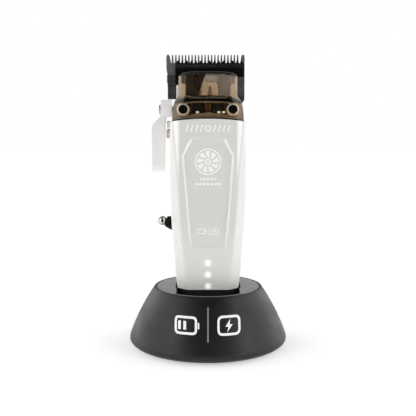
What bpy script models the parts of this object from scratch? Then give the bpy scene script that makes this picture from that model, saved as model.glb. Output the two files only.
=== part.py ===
"""Cordless hair clipper standing in its round charging stand.

+Z is up, -Y is the clipper's front, +X is the viewer's right. The origin is the centre of the stand's
underside. Sizes below are millimetres; MM turns them into metres.
"""

import math

import bmesh
import bpy
from mathutils import Matrix

MM = 0.001
MERGE = 0.00001
GAP = 0.3

# Stand
DOME_TOP_Z = 35.7
DOME_TOP_R = 33.2
DOME_BELLY_R = 43.4
DOME_RIM_R = 48.4
DOME_RIM_LOW_Z = 3.4
DOME_RIM_HIGH_Z = 5.4
DOME_FOOT_R = 45.0
DOME_FOOT_Z = 0.7
DOME_WALL = 2.4
DISC_R = 31.6
DISC_THICKNESS = 1.8
BASE_PLATE_R = 43.2
BASE_PLATE_Z = (1.5, 3.9)
PAD_R = 42.6
PAD_THICKNESS = 1.2
POST_SPOTS = [(-26.0, 12.0), (26.0, 12.0), (-26.0, -12.0)]
POST_R = 3.2
POCKET_HALF_WIDTH = 19.0
POCKET_DEPTH_Y = 14.9
POCKET_FLOOR_Z = 21.7
WELL_R = 30.9
WELL_FLOOR_Z = 28.0
LINER_WALL = 1.8
PIN_X = 6.0
INLET_Z = 10.0

# Clipper body, as (height, half width, panel half width, front depth, back depth, facet depth)
BODY_STATIONS = [
    (35.8, 18.6, 12.5, 14.5, 14.5, 8.5),
    (45.0, 19.8, 13.4, 15.3, 15.3, 9.1),
    (57.0, 20.5, 14.6, 16.2, 16.3, 10.0),
    (70.0, 21.5, 16.0, 17.2, 17.2, 11.0),
    (88.0, 22.4, 17.2, 17.3, 17.4, 11.5),
    (113.0, 22.8, 17.3, 17.3, 17.4, 11.5),
    (126.0, 22.65, 17.3, 17.3, 17.0, 11.4),
    (136.2, 22.5, 17.3, 17.3, 15.7, 11.3),
]
SHOULDER_STATIONS = [
    (137.0, 21.4, 16.6, 0.0, 15.4, 10.6),
    (142.0, 20.8, 15.8, 0.0, 12.6, 8.5),
    (147.2, 19.9, 15.0, 0.0, 9.4, 6.0),
]
COVER_STATIONS = [
    (137.3, 21.3, 16.8, 17.0, 0.0, 11.5),
    (142.0, 20.8, 16.4, 17.0, 0.0, 11.3),
    (146.0, 20.3, 15.8, 16.9, 0.0, 11.0),
    (148.4, 19.5, 14.8, 16.6, 0.0, 10.6),
    (149.8, 18.3, 13.9, 16.2, 0.0, 10.3),
    (150.6, 17.7, 13.6, 15.4, 0.0, 10.0),
    (151.2, 17.4, 13.4, 13.4, 0.0, 9.4),
    (160.0, 17.4, 13.2, 12.4, 0.0, 8.8),
    (163.4, 17.0, 12.8, 11.8, 0.0, 8.3),
    (164.9, 15.4, 11.2, 10.6, 0.0, 7.2),
    (165.5, 13.6, 9.6, 8.6, 0.0, 5.6),
    (165.8, 12.4, 8.6, 4.0, 0.0, 2.6),
]
CAP_STATIONS = [
    (22.0, 15.4, 10.0, 11.6, 11.6, 6.2),
    (24.0, 16.6, 11.0, 12.8, 12.8, 7.2),
    (31.0, 17.8, 12.0, 13.9, 13.9, 8.1),
    (35.5, 18.3, 12.3, 14.2, 14.2, 8.3),
]
SHELL_WALL = 2.2
COVER_WALL = 1.8
ARCH_RISE = 1.4
ARCH_HALF_WIDTH = 21.0
SPLIT_Y = 0.15
COVER_SPLIT_Y = 0.2
SEAT_Y = (0.5, 6.2)
SEAT_X = {"left": (-19.1, -12.6), "right": (12.6, 17.0)}
SEAT_TOP_Z = 158.0
BLOCK_X = (11.4, 15.0)
BLOCK_BACK_Y = 9.0
RECESS_Y = -16.3
LED_HEIGHTS = [52.3, 45.2, 38.0]
LED_R = 0.9
SHELL_SCREW_Z = 92.2
CAP_SCREW_SPOT = (9.2, 6.0)
COVER_SCREW_X = 14.5
COVER_SCREW_Z = 143.1
BLADE_SCREW_X = 15.0
BLADE_SCREW_Z = 153.5

# Cutting head
BLADE_X = (-25.4, 22.3)
BLADE_Y = (6.5, 9.0)
BLADE_TIP_Z = 176.8
BLADE_ROOT_Z = 171.8
BLADE_PITCH = 1.98
BLADE_FIRST_TOOTH_X = -21.55
BLADE_TEETH = 21
CUTTER_SHIFT = 1.05
CUTTER_HALF_WIDTH = 20.85
CUTTER_Y = (3.9, 6.2)
CUTTER_TIP_Z = 173.2
CUTTER_ROOT_Z = 170.9
CUTTER_PITCH = 2.77
CUTTER_TEETH = 15
CARRIAGE_Y = (1.5, 3.6)

# Drive
MOTOR_Y = -4.5
MOTOR_R = 10.0
MOTOR_Z = (96.0, 128.0)
ECCENTRICITY = 1.25
HUB_R = 3.4
BATTERY_R = 9.0
BATTERY_Y = 0.5
BATTERY_Z = (39.5, 88.5)

# Taper lever and power switch
LEVER_PIVOT_Y = 5.5
LEVER_PIVOT_Z = 143.5
LEVER_HEAD_R = 6.05
LEVER_FOOT_Z = 105.4
LEVER_INNER_X = -22.0
CAM_THROW = 4.3
CAM_REST_ANGLE = math.radians(17.5)
SWITCH_Y = 4.0
SWITCH_Z = 74.5
TOGGLE_PIVOT_X = -20.0
TOGGLE_BALL_X = -28.4
TOGGLE_BALL_RISE = 1.4

PARTS = "hair_clipper"
CUTTERS = "cutters"

TO_FRONT = (math.radians(90), 0, 0)
TO_BACK = (math.radians(-90), 0, 0)
TO_LEFT = (0, math.radians(-90), 0)
DOWNWARD = (math.radians(180), 0, 0)


# ---------------------------------------------------------------- helpers


def clear_scene():
    for obj in list(bpy.data.objects):
        bpy.data.objects.remove(obj, do_unlink=True)
    for name in (PARTS, CUTTERS):
        collection = bpy.data.collections.new(name)
        bpy.context.scene.collection.children.link(collection)


def make_material(name, colour, roughness, metallic=0.0, alpha=1.0):
    material = bpy.data.materials.new(name)
    material.use_nodes = True
    shader = material.node_tree.nodes["Principled BSDF"]
    shader.inputs["Base Color"].default_value = (*colour, 1.0)
    shader.inputs["Roughness"].default_value = roughness
    shader.inputs["Metallic"].default_value = metallic
    shader.inputs["Alpha"].default_value = alpha
    return material


def add_object(name, mesh, finish):
    """Links a mesh as a part, or as a cutter where it has no finish."""
    obj = bpy.data.objects.new(name, mesh)
    bpy.data.collections[PARTS if finish else CUTTERS].objects.link(obj)
    if finish:
        mesh.materials.append(finish)
    else:
        obj.hide_render = True
        obj.display_type = "WIRE"
    return obj


def from_bmesh(name, bm, finish=None, smooth_angle=30):
    mesh = bpy.data.meshes.new(name)
    bm.to_mesh(mesh)
    bm.free()
    mesh.shade_smooth()
    mesh.set_sharp_from_angle(angle=math.radians(smooth_angle))
    return add_object(name, mesh, finish)


def box(name, low, high, finish=None, bevel=0.0):
    size = [(b - a) * MM for a, b in zip(low, high)]
    centre = [(a + b) / 2 * MM for a, b in zip(low, high)]
    bm = bmesh.new()
    bmesh.ops.create_cube(bm, size=1.0)
    bmesh.ops.scale(bm, vec=size, verts=bm.verts)
    obj = from_bmesh(name, bm, finish)
    obj.location = centre
    if bevel:
        add_bevel(obj, bevel)
    return obj


def rod(name, radius, start, length, turn=(0, 0, 0), finish=None, sides=16):
    """A cylinder that begins at start and runs along its own +Z, turned by the given angles."""
    bm = bmesh.new()
    bmesh.ops.create_cone(
        bm, cap_ends=True, segments=sides, radius1=radius * MM, radius2=radius * MM, depth=length * MM
    )
    bmesh.ops.translate(bm, vec=(0, 0, length / 2 * MM), verts=bm.verts)
    obj = from_bmesh(name, bm, finish)
    obj.location = [c * MM for c in start]
    obj.rotation_euler = turn
    return obj


def ball(name, radius, centre, finish=None):
    bm = bmesh.new()
    bmesh.ops.create_uvsphere(bm, u_segments=14, v_segments=8, radius=radius * MM)
    obj = from_bmesh(name, bm, finish, 60)
    obj.location = [c * MM for c in centre]
    return obj


def turned(name, profile, finish=None, centre=(0, 0, 0), turn=(0, 0, 0), sides=24, closed=False):
    """Spins an outline of (radius, height) points, which runs down its outer side, around local Z."""
    bm = bmesh.new()
    verts = [bm.verts.new((r * MM, 0, h * MM)) for r, h in profile]
    pairs = list(zip(verts, verts[1:]))
    if closed:
        pairs.append((verts[-1], verts[0]))
    for a, b in pairs:
        bm.edges.new((a, b))
    mesh = bpy.data.meshes.new(name)
    bm.to_mesh(mesh)
    bm.free()
    obj = add_object(name, mesh, finish)
    obj.location = [c * MM for c in centre]
    obj.rotation_euler = turn
    screw = obj.modifiers.new("turn", "SCREW")
    screw.axis = "Z"
    screw.steps = sides
    screw.render_steps = sides
    screw.use_merge_vertices = True
    screw.merge_threshold = MERGE
    screw.use_smooth_shade = False
    return obj


def plate(name, outline, span, axis="Y", finish=None, holes=()):
    """A flat outline, made as a filled 2D curve, and extruded over span along an axis.

    The outline's points are (x, z) for axis Y, (x, y) for axis Z and (y, z) for axis X.
    """
    curve = bpy.data.curves.new(name, "CURVE")
    curve.dimensions = "2D"
    curve.fill_mode = "BOTH"
    curve.extrude = (span[1] - span[0]) / 2 * MM
    for points in (outline, *holes):
        spline = curve.splines.new("POLY")
        spline.points.add(len(points) - 1)
        for point, (u, v) in zip(spline.points, points):
            point.co = (u * MM, v * MM, 0, 1)
        spline.use_cyclic_u = True
    sketch = bpy.data.objects.new(name + "_sketch", curve)
    bpy.context.scene.collection.objects.link(sketch)
    evaluated = sketch.evaluated_get(bpy.context.evaluated_depsgraph_get())
    mesh = bpy.data.meshes.new_from_object(evaluated)
    bpy.data.objects.remove(sketch, do_unlink=True)
    bm = bmesh.new()
    bm.from_mesh(mesh)
    bpy.data.meshes.remove(mesh)
    bmesh.ops.remove_doubles(bm, verts=bm.verts, dist=MERGE)
    middle = (span[0] + span[1]) / 2 * MM
    if axis == "Y":
        place = Matrix.Translation((0, middle, 0)) @ Matrix.Rotation(math.radians(90), 4, "X")
    elif axis == "X":
        place = Matrix.Translation((middle, 0, 0)) @ Matrix(
            ((0, 0, 1, 0), (1, 0, 0, 0), (0, 1, 0, 0), (0, 0, 0, 1))
        )
    else:
        place = Matrix.Translation((0, 0, middle))
    bmesh.ops.transform(bm, matrix=place, verts=bm.verts)
    bmesh.ops.recalc_face_normals(bm, faces=bm.faces)
    return from_bmesh(name, bm, finish)


def loft(name, rings, finish=None, wrap=False, floor=False):
    """Skins a stack of rings of (x, y, z) points, lowest ring first."""
    bm = bmesh.new()
    rows = [[bm.verts.new([c * MM for c in point]) for point in ring] for ring in rings]
    count = len(rows[0])
    last = count if wrap else count - 1
    for lower, upper in zip(rows, rows[1:]):
        for j in range(last):
            k = (j + 1) % count
            bm.faces.new((lower[j], lower[k], upper[k], upper[j]))
    if floor:
        bm.faces.new(list(reversed(rows[0])))
    return from_bmesh(name, bm, finish, 20)


def add_solidify(obj, thickness):
    wall = obj.modifiers.new("wall", "SOLIDIFY")
    wall.thickness = thickness * MM
    wall.offset = -1
    wall.use_even_offset = True
    return obj


def add_bevel(obj, width, segments=1, angle=40):
    bevel = obj.modifiers.new("edges", "BEVEL")
    bevel.width = width * MM
    bevel.segments = segments
    bevel.limit_method = "ANGLE"
    bevel.angle_limit = math.radians(angle)
    return obj


def combine(obj, other, operation):
    boolean = obj.modifiers.new(other.name, "BOOLEAN")
    boolean.object = other
    boolean.operation = operation
    boolean.solver = "EXACT"
    return obj


def cut(obj, *others):
    for other in others:
        combine(obj, other, "DIFFERENCE")
    return obj


def join(obj, *others):
    for other in others:
        combine(obj, other, "UNION")
    return obj


def keep_common(obj, other):
    return combine(obj, other, "INTERSECT")


def mirrored(points):
    """Adds the mirror image of an outline's right half, given top to bottom."""
    return points + [(-u, v) for u, v in reversed(points) if u > 0]


def arc(radius, start, end, steps, centre=(0, 0)):
    """Points on a circle, from one angle to another in degrees."""
    angles = [math.radians(start + (end - start) * i / steps) for i in range(steps + 1)]
    return [(centre[0] + radius * math.cos(a), centre[1] + radius * math.sin(a)) for a in angles]


def bend(start, control, end, steps):
    """Points on a quadratic curve between two points."""
    points = []
    for i in range(steps + 1):
        t = i / steps
        weights = ((1 - t) ** 2, 2 * t * (1 - t), t**2)
        points.append(tuple(sum(w * p[k] for w, p in zip(weights, (start, control, end))) for k in (0, 1)))
    return points


def screw(name, head_r, head_h, shank_r, length, centre, turn, finish, socket_r=0.9):
    """A socket-head screw: local z = 0 is under its head, and the head points along local +Z."""
    floor = head_h - 0.45 * min(head_h, 2.0)
    profile = [(0, floor), (socket_r, floor), (socket_r, head_h), (head_r, head_h), (head_r, 0)]
    profile += [(shank_r, 0), (shank_r, -length), (0, -length)]
    return turned(name, profile, finish, centre, turn, 12)


def arch(x):
    return ARCH_RISE * (1 - (x / ARCH_HALF_WIDTH) ** 2)


def half_ring(station, side, split, lift=0.0, arched=False):
    """Half of the eight-sided section: side -1 is the front half and +1 is the back half."""
    z, width, panel, front, back, facet = station
    depth = front if side < 0 else back
    across = [panel * k / 4 for k in range(-4, 5)]
    points = [(-width, split), (-width, side * facet)]
    points += [(x, side * depth) for x in across]
    points += [(width, side * facet), (width, split)]
    ring = [(x, y, z + lift + (arch(x) if arched else 0.0)) for x, y in points]
    return ring if side < 0 else ring[::-1]


def front_depth(z):
    """How far the front panel stands forward of the split plane at a height."""
    for low, high in zip(BODY_STATIONS, BODY_STATIONS[1:]):
        if low[0] <= z <= high[0]:
            t = (z - low[0]) / (high[0] - low[0])
            return low[3] + t * (high[3] - low[3])
    return BODY_STATIONS[-1][3]


def joint_empty(name, place):
    empty = bpy.data.objects.new(name, None)
    empty.location = [c * MM for c in place]
    bpy.data.collections[PARTS].objects.link(empty)
    return empty


def attach(pieces, empty):
    """Hangs pieces on a joint's empty and leaves them where they are."""
    offset = Matrix.Translation(-empty.location)
    for piece in pieces:
        piece.parent = empty
        piece.matrix_parent_inverse = offset


# ---------------------------------------------------------------- charging stand


def build_stand(finish):
    outer = [(31.9, DOME_TOP_Z - 0.3), (32.3, DOME_TOP_Z), (32.8, DOME_TOP_Z - 0.05)]
    outer += bend((DOME_TOP_R, DOME_TOP_Z - 0.4), (DOME_BELLY_R, 20.35), (DOME_RIM_R, DOME_RIM_HIGH_Z), 7)
    outer += bend((DOME_RIM_R, DOME_RIM_LOW_Z), (47.6, 1.5), (DOME_FOOT_R, DOME_FOOT_Z), 3)
    inner = [(BASE_PLATE_R + 0.4, DOME_FOOT_Z), (BASE_PLATE_R + 0.4, 6.0)]
    inner += bend((45.4, 8.0), (DOME_BELLY_R - DOME_WALL, 19.5), (31.9, 31.5), 3)
    dome = turned("stand_shell", outer + inner, finish["stand"], sides=48, closed=True)
    cut(dome, rod("inlet_hole", 4.4, (0, 40, INLET_Z), 10, TO_BACK))

    low_z = POCKET_FLOOR_Z - 2
    liner = rod("cradle", DISC_R, (0, 0, low_z), DOME_TOP_Z - low_z, finish=finish["disc"], sides=48)
    disc_z = DOME_TOP_Z - DISC_THICKNESS
    wall_x = POCKET_HALF_WIDTH + LINER_WALL
    wall_y = POCKET_DEPTH_Y + LINER_WALL
    for side in (-1, 1):
        low_x, high_x = sorted((side * wall_x, side * 40))
        cut(liner, box(f"liner_side_{side + 1}", (low_x, -40, 10), (high_x, 40, disc_z)))
    cut(liner, box("liner_back", (-40, wall_y, 10), (40, 40, disc_z)))
    cut(liner, box("liner_front", (-40, -40, 10), (40, -wall_y, WELL_FLOOR_Z - LINER_WALL)))
    low = (-POCKET_HALF_WIDTH, -POCKET_DEPTH_Y, POCKET_FLOOR_Z)
    cut(liner, box("pocket", low, (POCKET_HALF_WIDTH, POCKET_DEPTH_Y, 40)))
    edge = math.degrees(math.acos(POCKET_HALF_WIDTH / WELL_R))
    well = arc(WELL_R, 180 + edge, 360 - edge, 14) + [(POCKET_HALF_WIDTH, -14), (-POCKET_HALF_WIDTH, -14)]
    cut(liner, plate("front_well", well, (WELL_FLOOR_Z, 40), "Z"))
    cut(liner, box("side_relief", (-19.9, -9.0, 30.0), (19.9, 8.0, 40)))
    for i, (x, y) in enumerate(POST_SPOTS):
        post = rod(f"cradle_post_{i}", POST_R, (x, y, BASE_PLATE_Z[1] + GAP), 31)
        join(liner, post)
        cut(liner, rod(f"post_bore_{i}", 1.5, (x, y, 2), 13))
    for side in (-1, 1):
        cut(liner, rod(f"pin_hole_{side + 1}", 1.3, (side * PIN_X, 0, 18), 6))

    base = rod("stand_base_plate", BASE_PLATE_R, (0, 0, BASE_PLATE_Z[0]), BASE_PLATE_Z[1] - BASE_PLATE_Z[0],
               finish=finish["black_plastic"], sides=48)
    for i, (x, y) in enumerate(POST_SPOTS):
        cut(base, rod(f"plate_bore_{i}", 1.6, (x, y, 0), 6))
        cut(base, rod(f"plate_sink_{i}", 2.7, (x, y, 0), 2.9))
        screw(f"stand_screw_{i + 1}", 2.3, 1.0, 1.2, 9.0, (x, y, 2.9 - GAP), DOWNWARD, finish["steel"])
    rod("base_pad", PAD_R, (0, 0, 0), PAD_THICKNESS, finish=finish["rubber"], sides=48)
    rod("stand_ballast", 23.5, (0, 0, BASE_PLATE_Z[1] + GAP), 5.0, finish=finish["steel"], sides=32)

    box("stand_circuit_board", (-11, 26, 4.2), (11, 40.5, 5.4), finish["circuit"])
    inlet = [(0, 9.8), (0.8, 9.8), (1.0, 9.5), (1.0, 2.0), (3.1, 2.0)]
    inlet += [(3.1, 11.0), (4.0, 11.0), (4.0, 0), (0, 0)]
    turned("power_inlet", inlet, finish["black_plastic"], (0, 34.0, INLET_Z), TO_BACK, 24)

    block = box("contact_block", (-10, -4, 9.6), (10, 4, 19.3), finish["black_plastic"])
    pins = []
    for side, label in ((-1, "left"), (1, "right")):
        x = side * PIN_X
        cut(block, rod(f"pin_bore_{label}", 1.9, (x, 0, 11.0), 12))
        profile = [(0, 22.2), (0.6, 22.2), (0.9, 21.9), (0.9, 18.6), (1.5, 18.6), (1.5, 17.4)]
        profile += [(0.9, 17.4), (0.9, 13.4), (0, 13.4)]
        pins.append(turned(f"contact_pin_{label}", profile, finish["gold"], (x, 0, 0), sides=16))
        attach([pins[-1]], joint_empty(f"contact_pin_{label}_axis", (x, 0, 17)))


# ---------------------------------------------------------------- clipper body


def build_shells(finish):
    rings = [half_ring(s, -1, -SPLIT_Y, 0.0, s is BODY_STATIONS[-1]) for s in BODY_STATIONS]
    front = add_solidify(loft("front_shell", rings, finish["white"]), SHELL_WALL)
    half = [(9.8, 126.5), (15.3, 116.1), (10.7, 65.0), (9.6, 57.5)]
    cut(front, plate("panel_recess", mirrored(half), (-25, RECESS_Y), "Y"))
    join(front, rod("screw_post", 2.7, (0, 9.0, SHELL_SCREW_Z), 25.0, TO_FRONT))
    cut(front, rod("screw_post_bore", 1.5, (0, 12, SHELL_SCREW_Z), 12.0, TO_FRONT))
    for i, z in enumerate(LED_HEIGHTS):
        cut(front, rod(f"light_hole_{i}", LED_R + GAP, (0, -10, z), 10, TO_FRONT))

    rings = [half_ring(s, 1, SPLIT_Y) for s in BODY_STATIONS]
    rings += [half_ring(s, 1, SEAT_Y[0]) for s in SHOULDER_STATIONS]
    rear = add_solidify(loft("rear_shell", rings, finish["white"]), SHELL_WALL)
    for side, label in ((-1, "left"), (1, "right")):
        x0, x1 = SEAT_X[label]
        join(rear, box(f"seat_post_{label}", (x0, SEAT_Y[0] + 0.05, 134.2), (x1, SEAT_Y[1], SEAT_TOP_Z)))
        x0, x1 = sorted((side * BLOCK_X[0], side * BLOCK_X[1]))
        join(rear, box(f"seat_block_{label}", (x0, 0.9, 134.0), (x1, BLOCK_BACK_Y, 146.4)))
        spot = (side * COVER_SCREW_X, -1, COVER_SCREW_Z)
        cut(rear, rod(f"cover_insert_{label}", 1.6, spot, 4.0, TO_BACK))
        spot = (side * BLADE_SCREW_X, 7.0, BLADE_SCREW_Z)
        cut(rear, rod(f"blade_insert_{label}", 1.6, spot, 5.0, TO_FRONT))
    cut(rear, rod("cam_bore", 2.5, (-8, LEVER_PIVOT_Y, LEVER_PIVOT_Z), 16, TO_LEFT))
    cut(rear, rod("switch_hole", 3.3, (-17, SWITCH_Y, SWITCH_Z), 8, TO_LEFT))
    cut(rear, rod("knob_hole", 1.9, (-18, LEVER_PIVOT_Y, 128.9), 8, TO_LEFT))
    cut(rear, rod("shell_screw_hole", 1.6, (0, 12, SHELL_SCREW_Z), 8, TO_BACK))
    cut(rear, rod("shell_screw_sink", 2.8, (0, 16.0, SHELL_SCREW_Z), 4, TO_BACK))
    join(rear, box("detent_boss", (-25.0, 2.5, 132.2), (-21.5, 8.5, 136.7), bevel=0.6))

    cap = [half_ring(s, -1, 0) + half_ring(s, 1, 0)[1:-1] for s in CAP_STATIONS]
    cap = add_solidify(loft("end_cap", cap, finish["black_plastic"], wrap=True, floor=True), 2.0)
    for side, label in ((-1, "left"), (1, "right")):
        x = side * PIN_X
        cut(cap, rod(f"contact_window_{label}", 2.2, (x, 0, 20), 5))
        rod(f"charge_contact_{label}", 1.9, (x, 0, 22.5), 1.6, finish=finish["gold"], sides=16)
        x, y = side * CAP_SCREW_SPOT[0], CAP_SCREW_SPOT[1]
        cut(cap, rod(f"cap_screw_hole_{label}", 1.3, (x, y, 20), 5))
        cut(cap, rod(f"cap_screw_sink_{label}", 2.4, (x, y, 20), 3.3))
        spot = (x, y, 23.3 - GAP)
        screw(f"end_cap_screw_{label}", 2.1, 0.9, 1.0, 8.0, spot, DOWNWARD, finish["steel"], 0.7)


def build_internals(finish):
    tray = [(-11.0, 30.0), (11.0, 30.0), (14.5, 60), (14.5, 126), (-14.5, 126), (-14.5, 60)]
    chassis = plate("inner_chassis", tray, (10.0, 11.5), "Y", finish["black_plastic"])
    for side, label in ((-1, "left"), (1, "right")):
        x, y = side * CAP_SCREW_SPOT[0], CAP_SCREW_SPOT[1]
        join(chassis, box(f"chassis_foot_{label}", (x - 2, y - 2.4, 28.5), (x + 2, 10.3, 34.0)))
        cut(chassis, rod(f"foot_bore_{label}", 1.3, (x, y, 27), 6))
    cut(chassis, rod("chassis_screw_hole", 3.2, (0, 13, SHELL_SCREW_Z), 5, TO_FRONT))
    length = BATTERY_Z[1] - BATTERY_Z[0]
    rod("battery_cell", BATTERY_R, (0, BATTERY_Y, BATTERY_Z[0]), length, finish=finish["battery"], sides=32)
    box("main_circuit_board", (-9, -11.3, 36.8), (9, -10.1, 72.0), finish["circuit"])
    for i, z in enumerate(LED_HEIGHTS):
        length = front_depth(z) - 11.6
        rod(f"charge_light_{i + 1}", LED_R, (0, -11.6, z), length, TO_FRONT, finish["light"], 16)
    screw("shell_screw", 2.5, 1.0, 1.2, 12.0, (0, 16.0 + GAP, SHELL_SCREW_Z), TO_BACK, finish["steel"])

    low, high = MOTOR_Z
    can = [(2.2, high), (MOTOR_R, high), (MOTOR_R, low), (9.2, low), (9.2, high - 1.0), (2.2, high - 1.0)]
    turned("motor_can", can, finish["steel"], (0, MOTOR_Y, 0), sides=32, closed=True)
    coil = [(6.6, high - 2.5), (8.9, high - 2.5), (8.9, low + 2.0), (6.6, low + 2.0)]
    turned("stator_coil", coil, finish["copper"], (0, MOTOR_Y, 0), sides=28, closed=True)
    bearing = [(1.6, 131.4), (3.6, 131.4), (3.6, 128.4), (1.6, 128.4)]
    turned("motor_bearing", bearing, finish["steel"], (0, MOTOR_Y, 0), sides=24, closed=True)
    outline = mirrored([(13.0, -13.8), (18.6, -8.0), (18.6, 8.6)])
    bracket = plate("motor_bracket", outline, (128.4, 131.0), "Z", finish["black_plastic"])
    cut(bracket, rod("bearing_seat", 3.9, (0, MOTOR_Y, 120), 20))
    frame = box("cam_housing", (-10.6, -12.0, 133.5), (10.6, -1.2, 147.6), finish["black_plastic"])
    cut(frame, box("cam_chamber", (-9.6, -20, 135.0), (9.6, 5, 150)))
    cut(frame, rod("cam_housing_hole", 4.2, (0, MOTOR_Y, 130), 8))


def build_head(finish):
    rings = [half_ring(s, -1, COVER_SPLIT_Y, 0.0, s is COVER_STATIONS[0]) for s in COVER_STATIONS]
    cover = add_solidify(loft("head_cover", rings, finish["amber"]), COVER_WALL)
    for side, label in ((-1, "left"), (1, "right")):
        x = side * COVER_SCREW_X
        join(cover, rod(f"cover_boss_{label}", 3.5, (x, -0.6, COVER_SCREW_Z), 16.2, TO_FRONT))
        cut(cover, rod(f"cover_bore_{label}", 1.6, (x, 2, COVER_SCREW_Z), 22, TO_FRONT))
        cut(cover, rod(f"cover_sink_{label}", 2.95, (x, -14.2, COVER_SCREW_Z), 6, TO_FRONT))
        spot = (x, -14.2 - GAP, COVER_SCREW_Z)
        screw(f"cover_screw_{label}", 2.65, 2.0, 1.3, 16.4, spot, TO_FRONT, finish["black_steel"], 1.3)
    rings = [half_ring(BODY_STATIONS[-1], -1, -SPLIT_Y, lift, True) for lift in (0.3, 0.8)]
    inset = [[(x * 0.945, y * 0.97 - 0.05, z) for x, y, z in ring] for ring in rings]
    add_solidify(loft("collar_gasket", inset, finish["rubber"]), 1.2)

    build_fixed_blade(finish)
    build_cutter(finish)


def tooth(x, root_z, tip_z, root_half, tip_half):
    """One blunt-tipped tooth as outline points, left to right."""
    shoulder = tip_z - 0.5
    points = [(x - root_half, root_z), (x - tip_half, shoulder), (x, tip_z)]
    return points + [(x + tip_half, shoulder), (x + root_half, root_z)]


def build_fixed_blade(finish):
    left, right = BLADE_X
    outline = [(left + 0.8, 149.9), (left + 0.7, 164.4), (left + 0.1, 168.0), (left, 175.2)]
    outline += [(left + 0.5, 176.6), (left + 1.2, BLADE_TIP_Z), (left + 1.9, 176.3), (left + 2.2, 175.4)]
    outline += [(left + 2.9, BLADE_ROOT_Z)]
    for i in range(BLADE_TEETH):
        x = BLADE_FIRST_TOOTH_X + i * BLADE_PITCH
        outline += tooth(x, BLADE_ROOT_Z, BLADE_TIP_Z, 0.62, 0.36)
    outline += [(right - 2.6, BLADE_ROOT_Z), (right - 2.1, 175.4), (right - 1.8, 176.3)]
    outline += [(right - 1.1, BLADE_TIP_Z), (right - 0.4, 176.6), (right, 175.2), (right, 149.6)]
    outline += [(right - 1.3, 147.6)]
    outline += [(left + 6.5, 147.6), (left + 6.5, 149.9)]
    blade = plate("fixed_blade", outline, BLADE_Y, "Y", finish["black_steel"])
    taper = [(9.01, 169.5), (12, 169.5), (12, 180), (6.95, 180)]
    cut(blade, plate("tooth_taper", taper, (-30, 30), "X"))
    for side, label in ((-1, "left"), (1, "right")):
        x = side * BLADE_SCREW_X
        cut(blade, rod(f"blade_hole_{label}", 1.9, (x, 12, BLADE_SCREW_Z), 8, TO_FRONT))
        cut(blade, rod(f"blade_sink_{label}", 2.9, (x, 12, BLADE_SCREW_Z), 4.3, TO_FRONT))
        spot = (x, 7.7 + GAP, BLADE_SCREW_Z)
        screw(f"blade_screw_{label}", 2.6, 0.9, 1.3, 5.2, spot, TO_BACK, finish["steel"], 1.1)


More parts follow.
